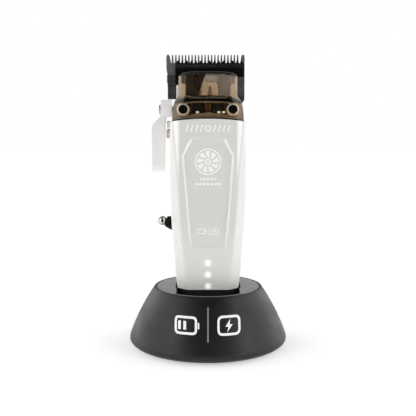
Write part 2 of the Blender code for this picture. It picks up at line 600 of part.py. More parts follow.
def build_cutter(finish):
    left = CUTTER_SHIFT - CUTTER_HALF_WIDTH
    right = CUTTER_SHIFT + CUTTER_HALF_WIDTH
    outline = [(left, 158.5), (left, CUTTER_ROOT_Z)]
    for i in range(CUTTER_TEETH):
        x = CUTTER_SHIFT + (i - (CUTTER_TEETH - 1) / 2) * CUTTER_PITCH
        outline += tooth(x, CUTTER_ROOT_Z, CUTTER_TIP_Z, 0.95, 0.4)
    outline += [(right, CUTTER_ROOT_Z), (right, 163.2), (right - 4.2, 163.2), (right - 4.2, 164.5)]
    outline += [(9.0, 164.5), (8.1, 162.0), (8.1, 152.0), (-6.0, 152.0), (-6.0, 162.0), (-7.5, 164.5)]
    outline += [(left + 4.2, 164.5), (left + 4.2, 158.5)]
    cutter = plate("cutter_blade", outline, CUTTER_Y, "Y", finish["black_steel"])
    bar = [(2.6, 166.5), (2.6, 169.3), (3.7, 170.5), (5.0, 170.5), (5.0, 166.5)]
    join(cutter, plate("cutter_bar", bar, (left, right), "X"))
    bevel = [(3.0, 171.2), (3.89, 171.2), (5.3, 174.0), (3.0, 174.0)]
    cut(cutter, plate("cutter_tooth_bevel", bevel, (-30, 30), "X"))

    rail = [(-8.6, 138.0), (10.7, 138.0), (10.7, 165.9), (-10.7, 165.9), (-10.7, 147.2), (-8.6, 147.2)]
    window = [(-8.5, 149.5), (8.5, 149.5), (8.5, 164.4), (-8.5, 164.4)]
    carriage = plate("blade_carriage", rail, CARRIAGE_Y, "Y", finish["steel"], [window])
    join(carriage, box("carriage_tail", (-8.2, -0.6, 139.0), (-4.8, 2.5, 145.5)))
    pin_z = LEVER_PIVOT_Z - CAM_THROW * math.sin(CAM_REST_ANGLE)
    cut(carriage, box("tail_slot", (-12, -3, pin_z - 1.5), (-4, 3.1, pin_z + 1.5)))
    wire = [(-9.4, 162.0), (-9.4, 147.6), (-8.4, 146.6), (8.4, 146.6), (9.4, 147.6), (9.4, 162.0)]
    spring = bpy.data.curves.new("tension_spring", "CURVE")
    spring.dimensions = "3D"
    spring.bevel_depth = 0.5 * MM
    spring.bevel_resolution = 2
    spring.use_fill_caps = True
    line = spring.splines.new("POLY")
    line.points.add(len(wire) - 1)
    for point, (x, z) in zip(line.points, wire):
        point.co = (x * MM, 0.6 * MM, z * MM, 1)
    spring.materials.append(finish["steel"])
    spring_object = bpy.data.objects.new("tension_spring", spring)
    bpy.data.collections[PARTS].objects.link(spring_object)

    foot = [(-5.8, 151.6), (7.7, 151.6), (7.7, 163.9), (-5.8, 163.9)]
    follower = plate("cam_follower", foot, CARRIAGE_Y, "Y", finish["tan"])
    body = [(-4.2, 148.0), (-2.85, 148.0), (-2.85, 151.6), (4.95, 151.6), (4.95, 148.0), (6.2, 148.0)]
    body += [(6.0, 158.6), (5.6, 159.0), (-2.6, 159.0), (-3.1, 158.6)]
    join(follower, plate("follower_fork", body, (-7.0, 2.6), "Y"))
    cut(follower, box("fork_relief", (-10, -0.9, 140), (10, 5, 150.9)))
    screws = []
    for side, label in ((-1, "left"), (1, "right")):
        x = CUTTER_SHIFT - 0.1 + side * 4.4
        cut(follower, rod(f"follower_bore_{label}", 1.1, (x, 5, 161.6), 6, TO_FRONT))
        cut(cutter, rod(f"cutter_bore_{label}", 1.1, (x, 8, 161.6), 6, TO_FRONT))
        spot = (x, CARRIAGE_Y[0] - GAP, 161.6)
        name = f"follower_screw_{label}"
        screws.append(screw(name, 1.6, 1.2, 0.8, 4.2, spot, TO_FRONT, finish["steel"], 0.6))
    slide = joint_empty("blade_carriage_slide_axis", (0, CARRIAGE_Y[0], 150))
    attach([carriage, spring_object], slide)
    attach([cutter, follower, *screws], joint_empty("cutter_slide_axis", (CUTTER_SHIFT, CUTTER_Y[0], 160)))


# ---------------------------------------------------------------- moving controls


def build_rotor(finish):
    shaft = rod("rotor_shaft", 1.2, (0, MOTOR_Y, 98.5), 37.0, finish=finish["steel"], sides=16)
    magnet = [(1.5, 123.0), (6.0, 123.0), (6.0, 101.0), (1.5, 101.0)]
    magnet = turned("rotor_magnet", magnet, finish["steel"], (0, MOTOR_Y, 0), sides=24, closed=True)
    hub = [(0, 147.6), (HUB_R, 147.6), (HUB_R, 136.0), (0, 136.0)]
    hub = turned("eccentric_cam", hub, finish["bronze"], (0, MOTOR_Y, 0), sides=28)
    pin_y = MOTOR_Y + math.sqrt(ECCENTRICITY**2 - CUTTER_SHIFT**2)
    join(hub, rod("drive_pin", 1.0, (CUTTER_SHIFT, pin_y, 146.0), 5.2, sides=16))
    attach([shaft, magnet, hub], joint_empty("rotor_axis", (0, MOTOR_Y, 110)))


def build_lever(finish):
    pivot = (LEVER_PIVOT_Y, LEVER_PIVOT_Z)
    front_view = [(-27.9, 149.6), (LEVER_INNER_X, 149.6), (LEVER_INNER_X, 139.1), (-25.5, 139.1)]
    front_view += [(-26.3, 134.0), (-26.5, 106.4), (-27.2, LEVER_FOOT_Z), (-33.4, LEVER_FOOT_Z)]
    front_view += [(-34.2, 106.4), (-34.2, 133.0), (-33.4, 134.8), (-28.8, 139.6)]
    front_view += [(-28.6, 141.0), (-28.6, 148.9)]
    lever = plate("taper_lever", front_view, (LEVER_PIVOT_Y - 7, LEVER_PIVOT_Y + 7), "Y", finish["lever"])
    side_view = arc(LEVER_HEAD_R, -40, 220, 20, pivot)
    side_view += [(LEVER_PIVOT_Y - 4.4, 136.5), (LEVER_PIVOT_Y - 4.4, 109.5)]
    side_view += arc(4.2, 180, 360, 8, (LEVER_PIVOT_Y, LEVER_FOOT_Z + 4.2))
    side_view += [(LEVER_PIVOT_Y + 4.4, 109.5), (LEVER_PIVOT_Y + 4.4, 136.5)]
    keep_common(lever, plate("lever_side_view", side_view, (-40, -15), "X"))
    cut(lever, rod("lever_bore", 1.6, (-15, LEVER_PIVOT_Y, LEVER_PIVOT_Z), 20, TO_LEFT))
    spot = (-28.6 - GAP, LEVER_PIVOT_Y, LEVER_PIVOT_Z)
    bolt = screw("lever_screw", 2.85, 1.2, 1.3, 14.0, spot, TO_LEFT, finish["black_steel"], 1.3)

    shaft = rod("lever_cam", 2.2, (-9.2, LEVER_PIVOT_Y, LEVER_PIVOT_Z), 12.5, TO_LEFT, finish["steel"], 20)
    pin_y = LEVER_PIVOT_Y - CAM_THROW * math.cos(CAM_REST_ANGLE)
    pin_z = LEVER_PIVOT_Z - CAM_THROW * math.sin(CAM_REST_ANGLE)
    web = plate("cam_web", arc(2.2, 0, 340, 17, pivot), (-10.4, -9.2), "X")
    cheek = plate("cam_cheek", arc(1.7, 0, 340, 17, (pin_y, pin_z)), (-10.4, -9.2), "X")
    bridge_points = [(pin_y, pin_z + 1.5), (LEVER_PIVOT_Y, LEVER_PIVOT_Z + 1.5)]
    bridge_points += [(LEVER_PIVOT_Y, LEVER_PIVOT_Z - 1.5), (pin_y, pin_z - 1.5)]
    bridge = plate("cam_bridge", bridge_points, (-10.4, -9.2), "X")
    join(shaft, web, bridge, cheek, rod("cam_pin", 1.2, (-5.2, pin_y, pin_z), 4.8, TO_LEFT, sides=16))
    cut(shaft, rod("cam_thread", 1.6, (-13.5, LEVER_PIVOT_Y, LEVER_PIVOT_Z), 12, TO_LEFT, sides=16))
    attach([lever, bolt, shaft], joint_empty("taper_lever_axis", (LEVER_INNER_X, *pivot)))

    knob = [(0, 3.0), (2.3, 3.0), (2.9, 2.5), (2.9, 0.5), (1.5, 0.5), (1.5, -3.2), (0, -3.2)]
    turned("detent_knob", knob, finish["knob"], (-22.45, LEVER_PIVOT_Y, 128.9), TO_LEFT, 20)


def build_switch(finish):
    """The toggle switch: a body behind the side wall, a rubber boot outside it, and a ball-ended lever."""
    y = SWITCH_Y
    body = box("switch_body", (-18.6, y - 3.6, 69.0), (-12.0, y + 3.6, 80.0), finish["black_plastic"])
    cut(body, box("switch_mouth", (-25, y - 1.8, 71.5), (-14.5, y + 1.8, 77.5)))
    boot = [(2.3, 3.2), (3.0, 3.2), (3.3, 2.2), (4.55, 1.4), (4.55, 0.0), (2.3, 0.0)]
    turned("switch_boot", boot, finish["rubber"], (-21.95, y, SWITCH_Z), TO_LEFT, 24, closed=True)
    reach = TOGGLE_PIVOT_X - TOGGLE_BALL_X
    tilt = math.atan2(TOGGLE_BALL_RISE, reach)
    length = math.hypot(reach, TOGGLE_BALL_RISE)
    lean = (0, math.radians(-90) + tilt, 0)
    lever = rod("toggle_lever", 1.1, (TOGGLE_PIVOT_X, y, SWITCH_Z), length, lean, finish["chrome"], 16)
    join(lever, ball("toggle_ball", 2.6, (TOGGLE_BALL_X, y, SWITCH_Z + TOGGLE_BALL_RISE)))
    join(lever, ball("toggle_root", 1.6, (TOGGLE_PIVOT_X + 1.5, y, SWITCH_Z)))
    attach([lever], joint_empty("toggle_axis", (TOGGLE_PIVOT_X, y, SWITCH_Z)))


def main():
    clear_scene()
    finish = {
        "stand": make_material("stand_plastic", (0.035, 0.035, 0.037), 0.5),
        "disc": make_material("disc_plastic", (0.06, 0.06, 0.062), 0.35),
        "black_plastic": make_material("black_plastic", (0.015, 0.015, 0.016), 0.4),
        "rubber": make_material("rubber", (0.012, 0.012, 0.012), 0.8),
        "white": make_material("white_paint", (0.80, 0.78, 0.75), 0.3),
        "lever": make_material("lever_paint", (0.74, 0.71, 0.71), 0.35),
        "amber": make_material("amber_clear", (0.35, 0.22, 0.10), 0.08, 0.0, 0.45),
        "black_steel": make_material("black_steel", (0.02, 0.02, 0.022), 0.3, 0.8),
        "steel": make_material("steel", (0.55, 0.55, 0.56), 0.35, 1.0),
        "chrome": make_material("chrome", (0.75, 0.75, 0.76), 0.08, 1.0),
        "bronze": make_material("bronze", (0.36, 0.20, 0.08), 0.35, 1.0),
        "copper": make_material("copper", (0.60, 0.28, 0.12), 0.4, 1.0),
        "gold": make_material("gold", (0.80, 0.60, 0.25), 0.25, 1.0),
        "tan": make_material("tan_plastic", (0.50, 0.38, 0.25), 0.5),
        "knob": make_material("knob_grey", (0.35, 0.35, 0.36), 0.4),
        "circuit": make_material("circuit_board", (0.02, 0.10, 0.05), 0.5),
        "battery": make_material("battery_wrap", (0.08, 0.18, 0.40), 0.4),
        "light": make_material("light_pipe", (0.95, 0.95, 0.92), 0.2),
    }
    build_stand(finish)
    build_shells(finish)
    build_internals(finish)
    build_head(finish)
    build_rotor(finish)
    build_lever(finish)
    build_switch(finish)


main()
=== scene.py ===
import math

import bmesh
import bpy
from mathutils import Matrix, Vector


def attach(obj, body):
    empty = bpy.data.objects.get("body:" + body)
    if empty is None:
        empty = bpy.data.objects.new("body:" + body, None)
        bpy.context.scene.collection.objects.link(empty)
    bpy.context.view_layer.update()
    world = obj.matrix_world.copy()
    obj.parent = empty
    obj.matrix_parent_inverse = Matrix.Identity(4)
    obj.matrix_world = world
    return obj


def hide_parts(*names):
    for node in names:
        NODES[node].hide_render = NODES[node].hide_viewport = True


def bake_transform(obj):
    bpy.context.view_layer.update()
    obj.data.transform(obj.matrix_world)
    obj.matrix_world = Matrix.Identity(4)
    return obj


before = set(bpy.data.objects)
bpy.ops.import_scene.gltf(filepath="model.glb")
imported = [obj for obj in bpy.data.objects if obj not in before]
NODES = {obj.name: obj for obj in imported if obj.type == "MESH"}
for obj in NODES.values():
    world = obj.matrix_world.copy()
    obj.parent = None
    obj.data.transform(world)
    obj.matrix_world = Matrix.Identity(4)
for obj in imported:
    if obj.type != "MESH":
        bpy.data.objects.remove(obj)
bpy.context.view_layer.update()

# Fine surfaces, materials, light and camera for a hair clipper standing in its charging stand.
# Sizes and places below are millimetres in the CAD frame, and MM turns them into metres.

MM = 0.001
# Vertices closer than this, in metres, become one
MERGE = 0.000001

FRONT = (0, -1, 0)
BACK = (0, 1, 0)
LEFT = (-1, 0, 0)
UP = (0, 0, 1)
DOWN = (0, 0, -1)

# Clipper body, as (height, half width, panel half width, front depth, back depth, facet depth)
BODY = [
    (35.8, 18.6, 12.5, 14.5, 14.5, 8.5),
    (45.0, 19.8, 13.4, 15.3, 15.3, 9.1),
    (57.0, 20.5, 14.6, 16.2, 16.3, 10.0),
    (70.0, 21.5, 16.0, 17.2, 17.2, 11.0),
    (88.0, 22.4, 17.2, 17.3, 17.4, 11.5),
    (113.0, 22.8, 17.3, 17.3, 17.4, 11.5),
    (126.0, 22.65, 17.3, 17.3, 17.0, 11.4),
    (136.2, 22.5, 17.3, 17.3, 15.7, 11.3),
]
SHOULDER = [
    (137.0, 21.4, 16.6, 0.0, 15.4, 10.6),
    (142.0, 20.8, 15.8, 0.0, 12.6, 8.5),
    (147.2, 19.9, 15.0, 0.0, 9.4, 6.0),
]
COVER = [
    (137.3, 21.3, 16.8, 17.0, 0.0, 11.5),
    (142.0, 20.8, 16.4, 17.0, 0.0, 11.3),
    (146.0, 20.3, 15.8, 16.9, 0.0, 11.0),
    (148.4, 19.5, 14.8, 16.6, 0.0, 10.6),
    (149.8, 18.3, 13.9, 16.2, 0.0, 10.3),
    (150.6, 17.7, 13.6, 15.4, 0.0, 10.0),
    (151.2, 17.4, 13.4, 13.4, 0.0, 9.4),
    (160.0, 17.4, 13.2, 12.4, 0.0, 8.8),
    (163.4, 17.0, 12.8, 11.8, 0.0, 8.3),
    (164.9, 15.4, 11.2, 10.6, 0.0, 7.2),
    (165.5, 13.6, 9.6, 8.6, 0.0, 5.6),
    (165.8, 12.4, 8.6, 4.0, 0.0, 2.6),
]
# Wall thicknesses, and the angle in degrees below which the shells' edges are smooth
SHELL_WALL = 2.2
COVER_WALL = 1.3
SHELL_ANGLE = 25
# The share of the collar's arch that each ring of its dark sheet of painted shade takes
SHADE_SHEET_LIFT = (0.57, 0.2, 0.0, 0.0, 0.55)
ARCH_RISE = 1.4
ARCH_HALF_WIDTH = 21.0
ARCH_FOOT_Z = 126.0
RECESS_Y = -16.15
LED_HEIGHTS = (52.3, 45.2, 38.0)
COVER_SCREWS = ((-14.5, 143.1), (14.5, 143.1))
BLADE_SCREWS = ((-15.0, 153.5), (15.0, 153.5))
SHELL_SCREW_Z = 92.2
LEVER_PIVOT = (5.5, 143.5)
SWITCH_AT = (-20.0, 4.0, 74.5)
TOGGLE_TIP = (-28.1, 4.0, 75.35)
BALL_R = 2.8
BOOT_WALL_X = -21.95
BOOT_LEAN = 0.2
KNOB_AT = (-22.45, 5.5, 128.9)
FRONT_Y = -17.3
RECESS_FOOT_Z = 65.0
RAMP_FOOT_Z = 57.6
SLASH_Z = 132.1
EMBLEM_Z = 112.6
SIGN_Z = 71.4
SWITCH_MARK_X = -19.75

# How the panel's half width grows with height, which also bounds the panel's painted shade, and the line that
# leans across the cover's nose, beside which painted shade and a painted reflection meet
PANEL_TAPER = 0.090
SLANT_TOP_Z = 165.7
SLANT_LEAN = 0.38

# Stand
DISC_R = 31.6
DISC_TOP = 35.7
CRADLE_FOOT = 19.7
CRADLE_POSTS = ((-26.0, 12.0), (26.0, 12.0), (-26.0, -12.0))
INLET_Z = 10.0
MARK_Z = 21.1

# Studio brightness all round, added at both sides, added behind, the share of it left overhead, and
# the floor's own glow
BASE_LIGHT = 0.12
SIDE_LIGHT = 1.55
BACK_LIGHT = 0.65
ZENITH_SHARE = 0.62
FLOOR_GLOW = 0.48

# Camera and softboxes, in metres, degrees and watts
CAMERA_AT = (0.0, -0.427, 0.130)
CAMERA_TILT = 6.2
CAMERA_LENS = 60.6
KEY_AT = (0.75, -0.45, 0.35)
KEY_TARGET = (0, 0, 0.09)
KEY_SIZE = (0.35, 0.7)
KEY_POWER = 0.8


# ---------------------------------------------------------------- mesh tools


def link(name, bm, angle=30.0, recalculate=True):
    """Links a finished bmesh as an object whose edges are smooth below an angle."""
    if recalculate:
        bmesh.ops.recalc_face_normals(bm, faces=bm.faces)
    mesh = bpy.data.meshes.new(name)
    bm.to_mesh(mesh)
    bm.free()
    obj = bpy.data.objects.new(name, mesh)
    bpy.context.scene.collection.objects.link(obj)
    smooth(obj, angle)
    return obj


def smooth(obj, angle):
    obj.data.shade_smooth()
    obj.data.set_sharp_from_angle(angle=math.radians(angle))


def weigh(obj):
    """Keeps an object's flats flat beside its rounded edges."""
    normals = obj.modifiers.new("normals", "WEIGHTED_NORMAL")
    normals.keep_sharp = True
    return obj


def settle(obj, angle):
    """Applies an object's modifiers."""
    evaluated = obj.evaluated_get(bpy.context.evaluated_depsgraph_get())
    mesh = bpy.data.meshes.new_from_object(evaluated)
    obj.modifiers.clear()
    obj.data = mesh
    smooth(obj, angle)
    return obj


def combine(obj, others, operation, angle=30.0):
    """Cuts, joins or crosses an object with others, which are used up."""
    for other in others:
        boolean = obj.modifiers.new("boolean", "BOOLEAN")
        boolean.object = other
        boolean.operation = operation
        boolean.solver = "EXACT"
    settle(obj, angle)
    for other in others:
        bpy.data.objects.remove(other, do_unlink=True)
    return obj


def cut(obj, *others, angle=30.0):
    return combine(obj, others, "DIFFERENCE", angle)


def join(obj, *others, angle=30.0):
    return combine(obj, others, "UNION", angle)


def soften(obj, width, segments=2, angle=35.0):
    """Rounds an object's sharp edges."""
    bevel = obj.modifiers.new("edges", "BEVEL")
    bevel.width = width * MM
    bevel.segments = segments
    bevel.limit_method = "ANGLE"
    bevel.angle_limit = math.radians(angle)
    bevel.miter_outer = "MITER_ARC"
    return weigh(settle(obj, angle + 5))


def aim(obj, origin, direction):
    """Moves a mesh modelled about local +Z to an origin, and turns +Z to a direction."""
    turn = Vector(direction).to_track_quat("Z", "Y").to_matrix().to_4x4()
    obj.data.transform(Matrix.Translation([c * MM for c in origin]) @ turn)
    return obj


def box(name, low, high):
    bm = bmesh.new()
    bmesh.ops.create_cube(bm, size=1.0)
    bmesh.ops.scale(bm, vec=[(b - a) * MM for a, b in zip(low, high)], verts=bm.verts)
    bmesh.ops.translate(bm, vec=[(a + b) / 2 * MM for a, b in zip(low, high)], verts=bm.verts)
    return link(name, bm)


def skin(bm, rows, wrap=True):
    """Joins rows of vertices, each to the next, where a row may also be a single point."""
    for a, b in zip(rows, rows[1:]):
        count = max(len(a), len(b))
        for j in range(count if wrap else count - 1):
            k = (j + 1) % count
            corners = (a[j % len(a)], a[k % len(a)], b[k % len(b)], b[j % len(b)])
            bm.faces.new(list(dict.fromkeys(corners)))


def turned(name, profile, sides=64, closed=False, angle=30.0):
    """Spins an outline of (radius, height) points about local Z."""
    bm = bmesh.new()
    rows = []
    for radius, height in profile:
        turns = [math.tau * j / sides for j in range(sides if radius > 0 else 1)]
        spots = [(radius * math.cos(a) * MM, radius * math.sin(a) * MM, height * MM) for a in turns]
        rows.append([bm.verts.new(spot) for spot in spots])
    skin(bm, rows + rows[:1] if closed else rows)
    return link(name, bm, angle)


def rod(name, radius, origin, direction, length, sides=48):
    profile = [(0, 0), (radius, 0), (radius, length), (0, length)]
    return aim(turned(name, profile, sides), origin, direction)


def loft(name, rings, wrap=False, ends="open", angle=30.0):
    """Skins a stack of rings of (x, y, z) points, with its ends open, capped or joined together."""
    bm = bmesh.new()
    rows = [[bm.verts.new([c * MM for c in point]) for point in ring] for ring in rings]
    skin(bm, rows + rows[:1] if ends == "joined" else rows, wrap)
    if ends == "capped":
        bm.faces.new(rows[0])
        bm.faces.new(rows[-1])
    return link(name, bm, angle, recalculate=ends != "open")


def thicken(obj, thickness, angle=30.0):
    wall = obj.modifiers.new("wall", "SOLIDIFY")
    wall.thickness = thickness * MM
    wall.offset = -1
    wall.use_even_offset = True
    return settle(obj, angle)


def filled(shapes):
    """A flat bmesh of filled outlines, each an outline and its holes, as (u, v) points."""
    curve = bpy.data.curves.new("shape", "CURVE")
    curve.dimensions = "2D"
    curve.fill_mode = "BOTH"
    for outlines in shapes:
        for points in outlines:
            spline = curve.splines.new("POLY")
            spline.points.add(len(points) - 1)
            for point, (u, v) in zip(spline.points, points):
                point.co = (u * MM, v * MM, 0, 1)
            spline.use_cyclic_u = True
    sketch = bpy.data.objects.new("shape", curve)
    bpy.context.scene.collection.objects.link(sketch)
    mesh = bpy.data.meshes.new_from_object(sketch.evaluated_get(bpy.context.evaluated_depsgraph_get()))
    bpy.data.objects.remove(sketch, do_unlink=True)
    bm = bmesh.new()
    bm.from_mesh(mesh)
    bpy.data.meshes.remove(mesh)
    bmesh.ops.remove_doubles(bm, verts=bm.verts, dist=MERGE)
    return bm


def extruded(bm):
    """Extrudes every face of a bmesh in place and returns the new vertices."""
    grown = bmesh.ops.extrude_face_region(bm, geom=bm.faces[:])
    return {v for v in grown["geom"] if isinstance(v, bmesh.types.BMVert)}


def merge_flats(bm):
    bmesh.ops.dissolve_limit(bm, angle_limit=math.radians(1), verts=bm.verts, edges=bm.edges)


def plate(name, outline, span, axis="Y"):
    """A flat outline extruded over span: (x, z) points along Y, (x, y) along Z or (y, z) along X."""
    bm = filled([[outline]])
    low, high = span
    raised = extruded(bm)
    for v in bm.verts:
        w = (high if v in raised else low) * MM
        u, t = v.co.x, v.co.y
        v.co = {"Y": (u, w, t), "X": (w, u, t), "Z": (u, t, w)}[axis]
    merge_flats(bm)
    return link(name, bm)


def divided(points, step):
    """An outline with no side longer than a step."""
    result = []
    for (u0, v0), (u1, v1) in zip(points, points[1:] + points[:1]):
        count = max(1, math.ceil(math.hypot(u1 - u0, v1 - v0) / step))
        result += [(u0 + (u1 - u0) * i / count, v0 + (v1 - v0) * i / count) for i in range(count)]
    return result


def printed(name, shapes, depth_at, fineness=0, proud=0.06):
    """Thin printed shapes of (x, z) outlines, laid on the surface whose y is depth_at(x, z)."""
    bm = filled([[divided(points, 0.7) for points in outlines] for outlines in shapes])
    if fineness:
        bmesh.ops.triangulate(bm, faces=bm.faces)
        bmesh.ops.subdivide_edges(bm, edges=bm.edges[:], cuts=fineness, use_grid_fill=True)
    raised = extruded(bm)
    for v in bm.verts:
        x, z = v.co.x, v.co.y
        lift = proud if v in raised else -proud
        v.co = (x, (depth_at(x / MM, z / MM) - lift) * MM, z)
    return link(name, bm)


# ---------------------------------------------------------------- outlines


def arc(radius, start, end, steps, centre=(0, 0)):
    """Points on a circle, from one angle to another in degrees."""
    angles = [math.radians(start + (end - start) * i / steps) for i in range(steps + 1)]
    return [(centre[0] + radius * math.cos(a), centre[1] + radius * math.sin(a)) for a in angles]


def circle(radius, centre=(0, 0), steps=48):
    return arc(radius, 0, 360, steps, centre)[:-1]


def bend(start, control, end, steps):
    """Points on a quadratic curve between two points."""
    points = []
    for i in range(steps + 1):
        t = i / steps
        weighted = list(zip(((1 - t) ** 2, 2 * t * (1 - t), t**2), (start, control, end)))
        points.append(tuple(sum(w * p[k] for w, p in weighted) for k in range(len(start))))
    return points


def eased(points, radius, steps=5, closed=True):
    """Rounds an outline's corners."""
    count = len(points)
    result = []
    for i, corner in enumerate(points):
        if not closed and i in (0, count - 1):
            result.append(tuple(corner))
            continue
        here = Vector(corner)
        before = Vector(points[i - 1]) - here
        after = Vector(points[(i + 1) % count]) - here
        reach = min(radius, before.length * 0.45, after.length * 0.45)
        start = here + before.normalized() * reach
        end = here + after.normalized() * reach
        result += bend(tuple(start), tuple(corner), tuple(end), steps)
    return result


def rounded_box(centre, width, height, corner, steps=6):
    u, v = centre
    w, h = width / 2, height / 2
    points = [(u - w, v - h), (u + w, v - h), (u + w, v + h), (u - w, v + h)]
    return eased(points, corner, steps)


def frame_shape(centre, width, height, corner, stroke):
    """A rounded frame line as an outline and its hole."""
    inner = rounded_box(centre, width - 2 * stroke, height - 2 * stroke, max(corner - stroke, 0.2))
    return [rounded_box(centre, width, height, corner), inner]


def bar(x, z, width, height, lean=0.0):
    """An upright bar that leans to the right by a distance at each end."""
    w, h = width / 2, height / 2
    return [[(x - w - lean, z - h), (x + w - lean, z - h), (x + w + lean, z + h), (x - w + lean, z + h)]]


def mirrored(points):
    """Adds the mirror image of an outline's right half, given top to bottom."""
    return points + [(-u, v) for u, v in reversed(points) if u > 0]


def station_at(stations, z):
    """Smooth values between stations, by a cubic through them that is level at peaks."""
    last = len(stations) - 2
    i = next((i for i in range(last) if z <= stations[i + 1][0]), last)
    low, high = stations[i], stations[i + 1]
    before, after = stations[max(i - 1, 0)], stations[min(i + 2, last + 1)]
    span = high[0] - low[0]
    t = min(max((z - low[0]) / span, 0.0), 1.0)
    h00 = 2 * t**3 - 3 * t**2 + 1
    h10 = t**3 - 2 * t**2 + t
    h11 = t**3 - t**2
    values = [z]
    for k in range(1, 6):
        enter = (high[k] - before[k]) / (high[0] - before[0])
        leave = (after[k] - low[k]) / (after[0] - low[0])
        if i > 0 and (low[k] - before[k]) * (high[k] - low[k]) <= 0:
            enter = 0.0
        if i < last and (after[k] - high[k]) * (high[k] - low[k]) <= 0:
            leave = 0.0
        values.append(h00 * low[k] + h10 * span * enter + (1 - h00) * high[k] + h11 * span * leave)
    return values


def levels(stations, step):
    """Heights from the lowest station to the highest, with every station among them."""
    heights = []
    for low, high in zip(stations, stations[1:]):
        count = max(1, round((high[0] - low[0]) / step))
        heights += [low[0] + (high[0] - low[0]) * i / count for i in range(count)]
    return heights + [stations[-1][0]]


def arch(x):
    """Height of the arch that the body's top edge and the collar follow."""
    return ARCH_RISE * (1 - (x / ARCH_HALF_WIDTH) ** 2)


def half_ring(station, side, split, radius, lift=0.0):
    """Half of the eight-sided section with rounded corners: side -1 is the front and +1 the back.

    lift is the share of the collar's arch that this ring takes.
    """
    z, width, panel, front, back, facet = station
    depth = front if side < 0 else back
    corners = [(-width, split), (-width, side * facet), (-panel, side * depth)]
    corners += [(panel, side * depth), (width, side * facet), (width, split)]
    outline = eased(corners, radius, 5, closed=False)
    middle = len(outline) // 2
    across = [(panel * k / 8, side * depth) for k in range(-5, 6)]
    outline = outline[:middle] + across + outline[middle:]
    ring = [(x, y, z + lift * arch(x)) for x, y in outline]
    return ring if side < 0 else ring[::-1]


def body_front(x, z):
    """Y of the body's front surface, on the panel and on the slanted facets."""
    _, width, panel, front, _, facet = station_at(BODY, z)
    if abs(x) <= panel:
        return -front
    return -(facet + (front - facet) * (width - abs(x)) / (width - panel))


def recess_front(_x, _z):
    """Y of the flat floor of the panel's recess."""
    return RECESS_Y


def dome_profile():
    """The stand's outer outline, top to bottom."""
    outer = [(31.9, 35.4)] + bend((31.9, 35.5), (32.4, 36.0), (33.2, 35.3), 6)[1:]
    outer += bend((33.2, 35.3), (43.35, 20.35), (48.35, 5.4), 28)[1:]
    outer += bend((48.35, 5.4), (48.43, 4.4), (48.35, 3.4), 4)[1:]
    outer += bend((48.35, 3.4), (47.55, 1.5), (45.0, 0.7), 8)[1:]
    return outer


DOME = dome_profile()


def dome_front(x, z):
    """Y of the stand's front surface."""
    for (r0, z0), (r1, z1) in zip(DOME, DOME[1:]):
        if z1 <= z <= z0 and z0 > z1:
            radius = r0 + (r1 - r0) * (z0 - z) / (z0 - z1)
            return -math.sqrt(max(radius**2 - x**2, 0.0))
    return -DOME[-1][0]


# ---------------------------------------------------------------- materials


class Graph:
    """The shader nodes of a material or of the world."""

    def __init__(self, tree):
        self.tree = tree

    def node(self, kind, **values):
        made = self.tree.nodes.new(kind)
        for key, value in values.items():
            setattr(made, key, value)
        return made

    def wire(self, source, target):
        self.tree.links.new(source, target)

    def ramp(self, factor, low, high, start=0.3, end=0.7):
        """Maps a factor between start and end to the values from low to high."""
        ranged = self.node("ShaderNodeMapRange", interpolation_type="SMOOTHSTEP")
        for key, value in (("From Min", start), ("From Max", end), ("To Min", low), ("To Max", high)):
            ranged.inputs[key].default_value = value
        self.wire(factor, ranged.inputs["Value"])
        return ranged.outputs["Result"]

    def above(self, factor, start=0.3, end=0.7):
        return self.ramp(factor, 0.0, 1.0, start, end)

    def below(self, factor, start, end):
        return self.ramp(factor, 1.0, 0.0, start, end)

    def math(self, operation, a, b=0.0):
        made = self.node("ShaderNodeMath", operation=operation)
        for socket, value in zip(made.inputs, (a, b)):
            if isinstance(value, (int, float)):
                socket.default_value = value
            else:
                self.wire(value, socket)
        return made.outputs[0]

    def plus(self, a, b):
        return self.math("ADD", a, b)

    def minus(self, a, b):
        return self.math("SUBTRACT", a, b)

    def times(self, a, b):
        return self.math("MULTIPLY", a, b)

    def absolute(self, a):
        return self.math("ABSOLUTE", a)

    def split(self, vector):
        parts = self.node("ShaderNodeSeparateXYZ")
        self.wire(vector, parts.inputs[0])
        return parts.outputs


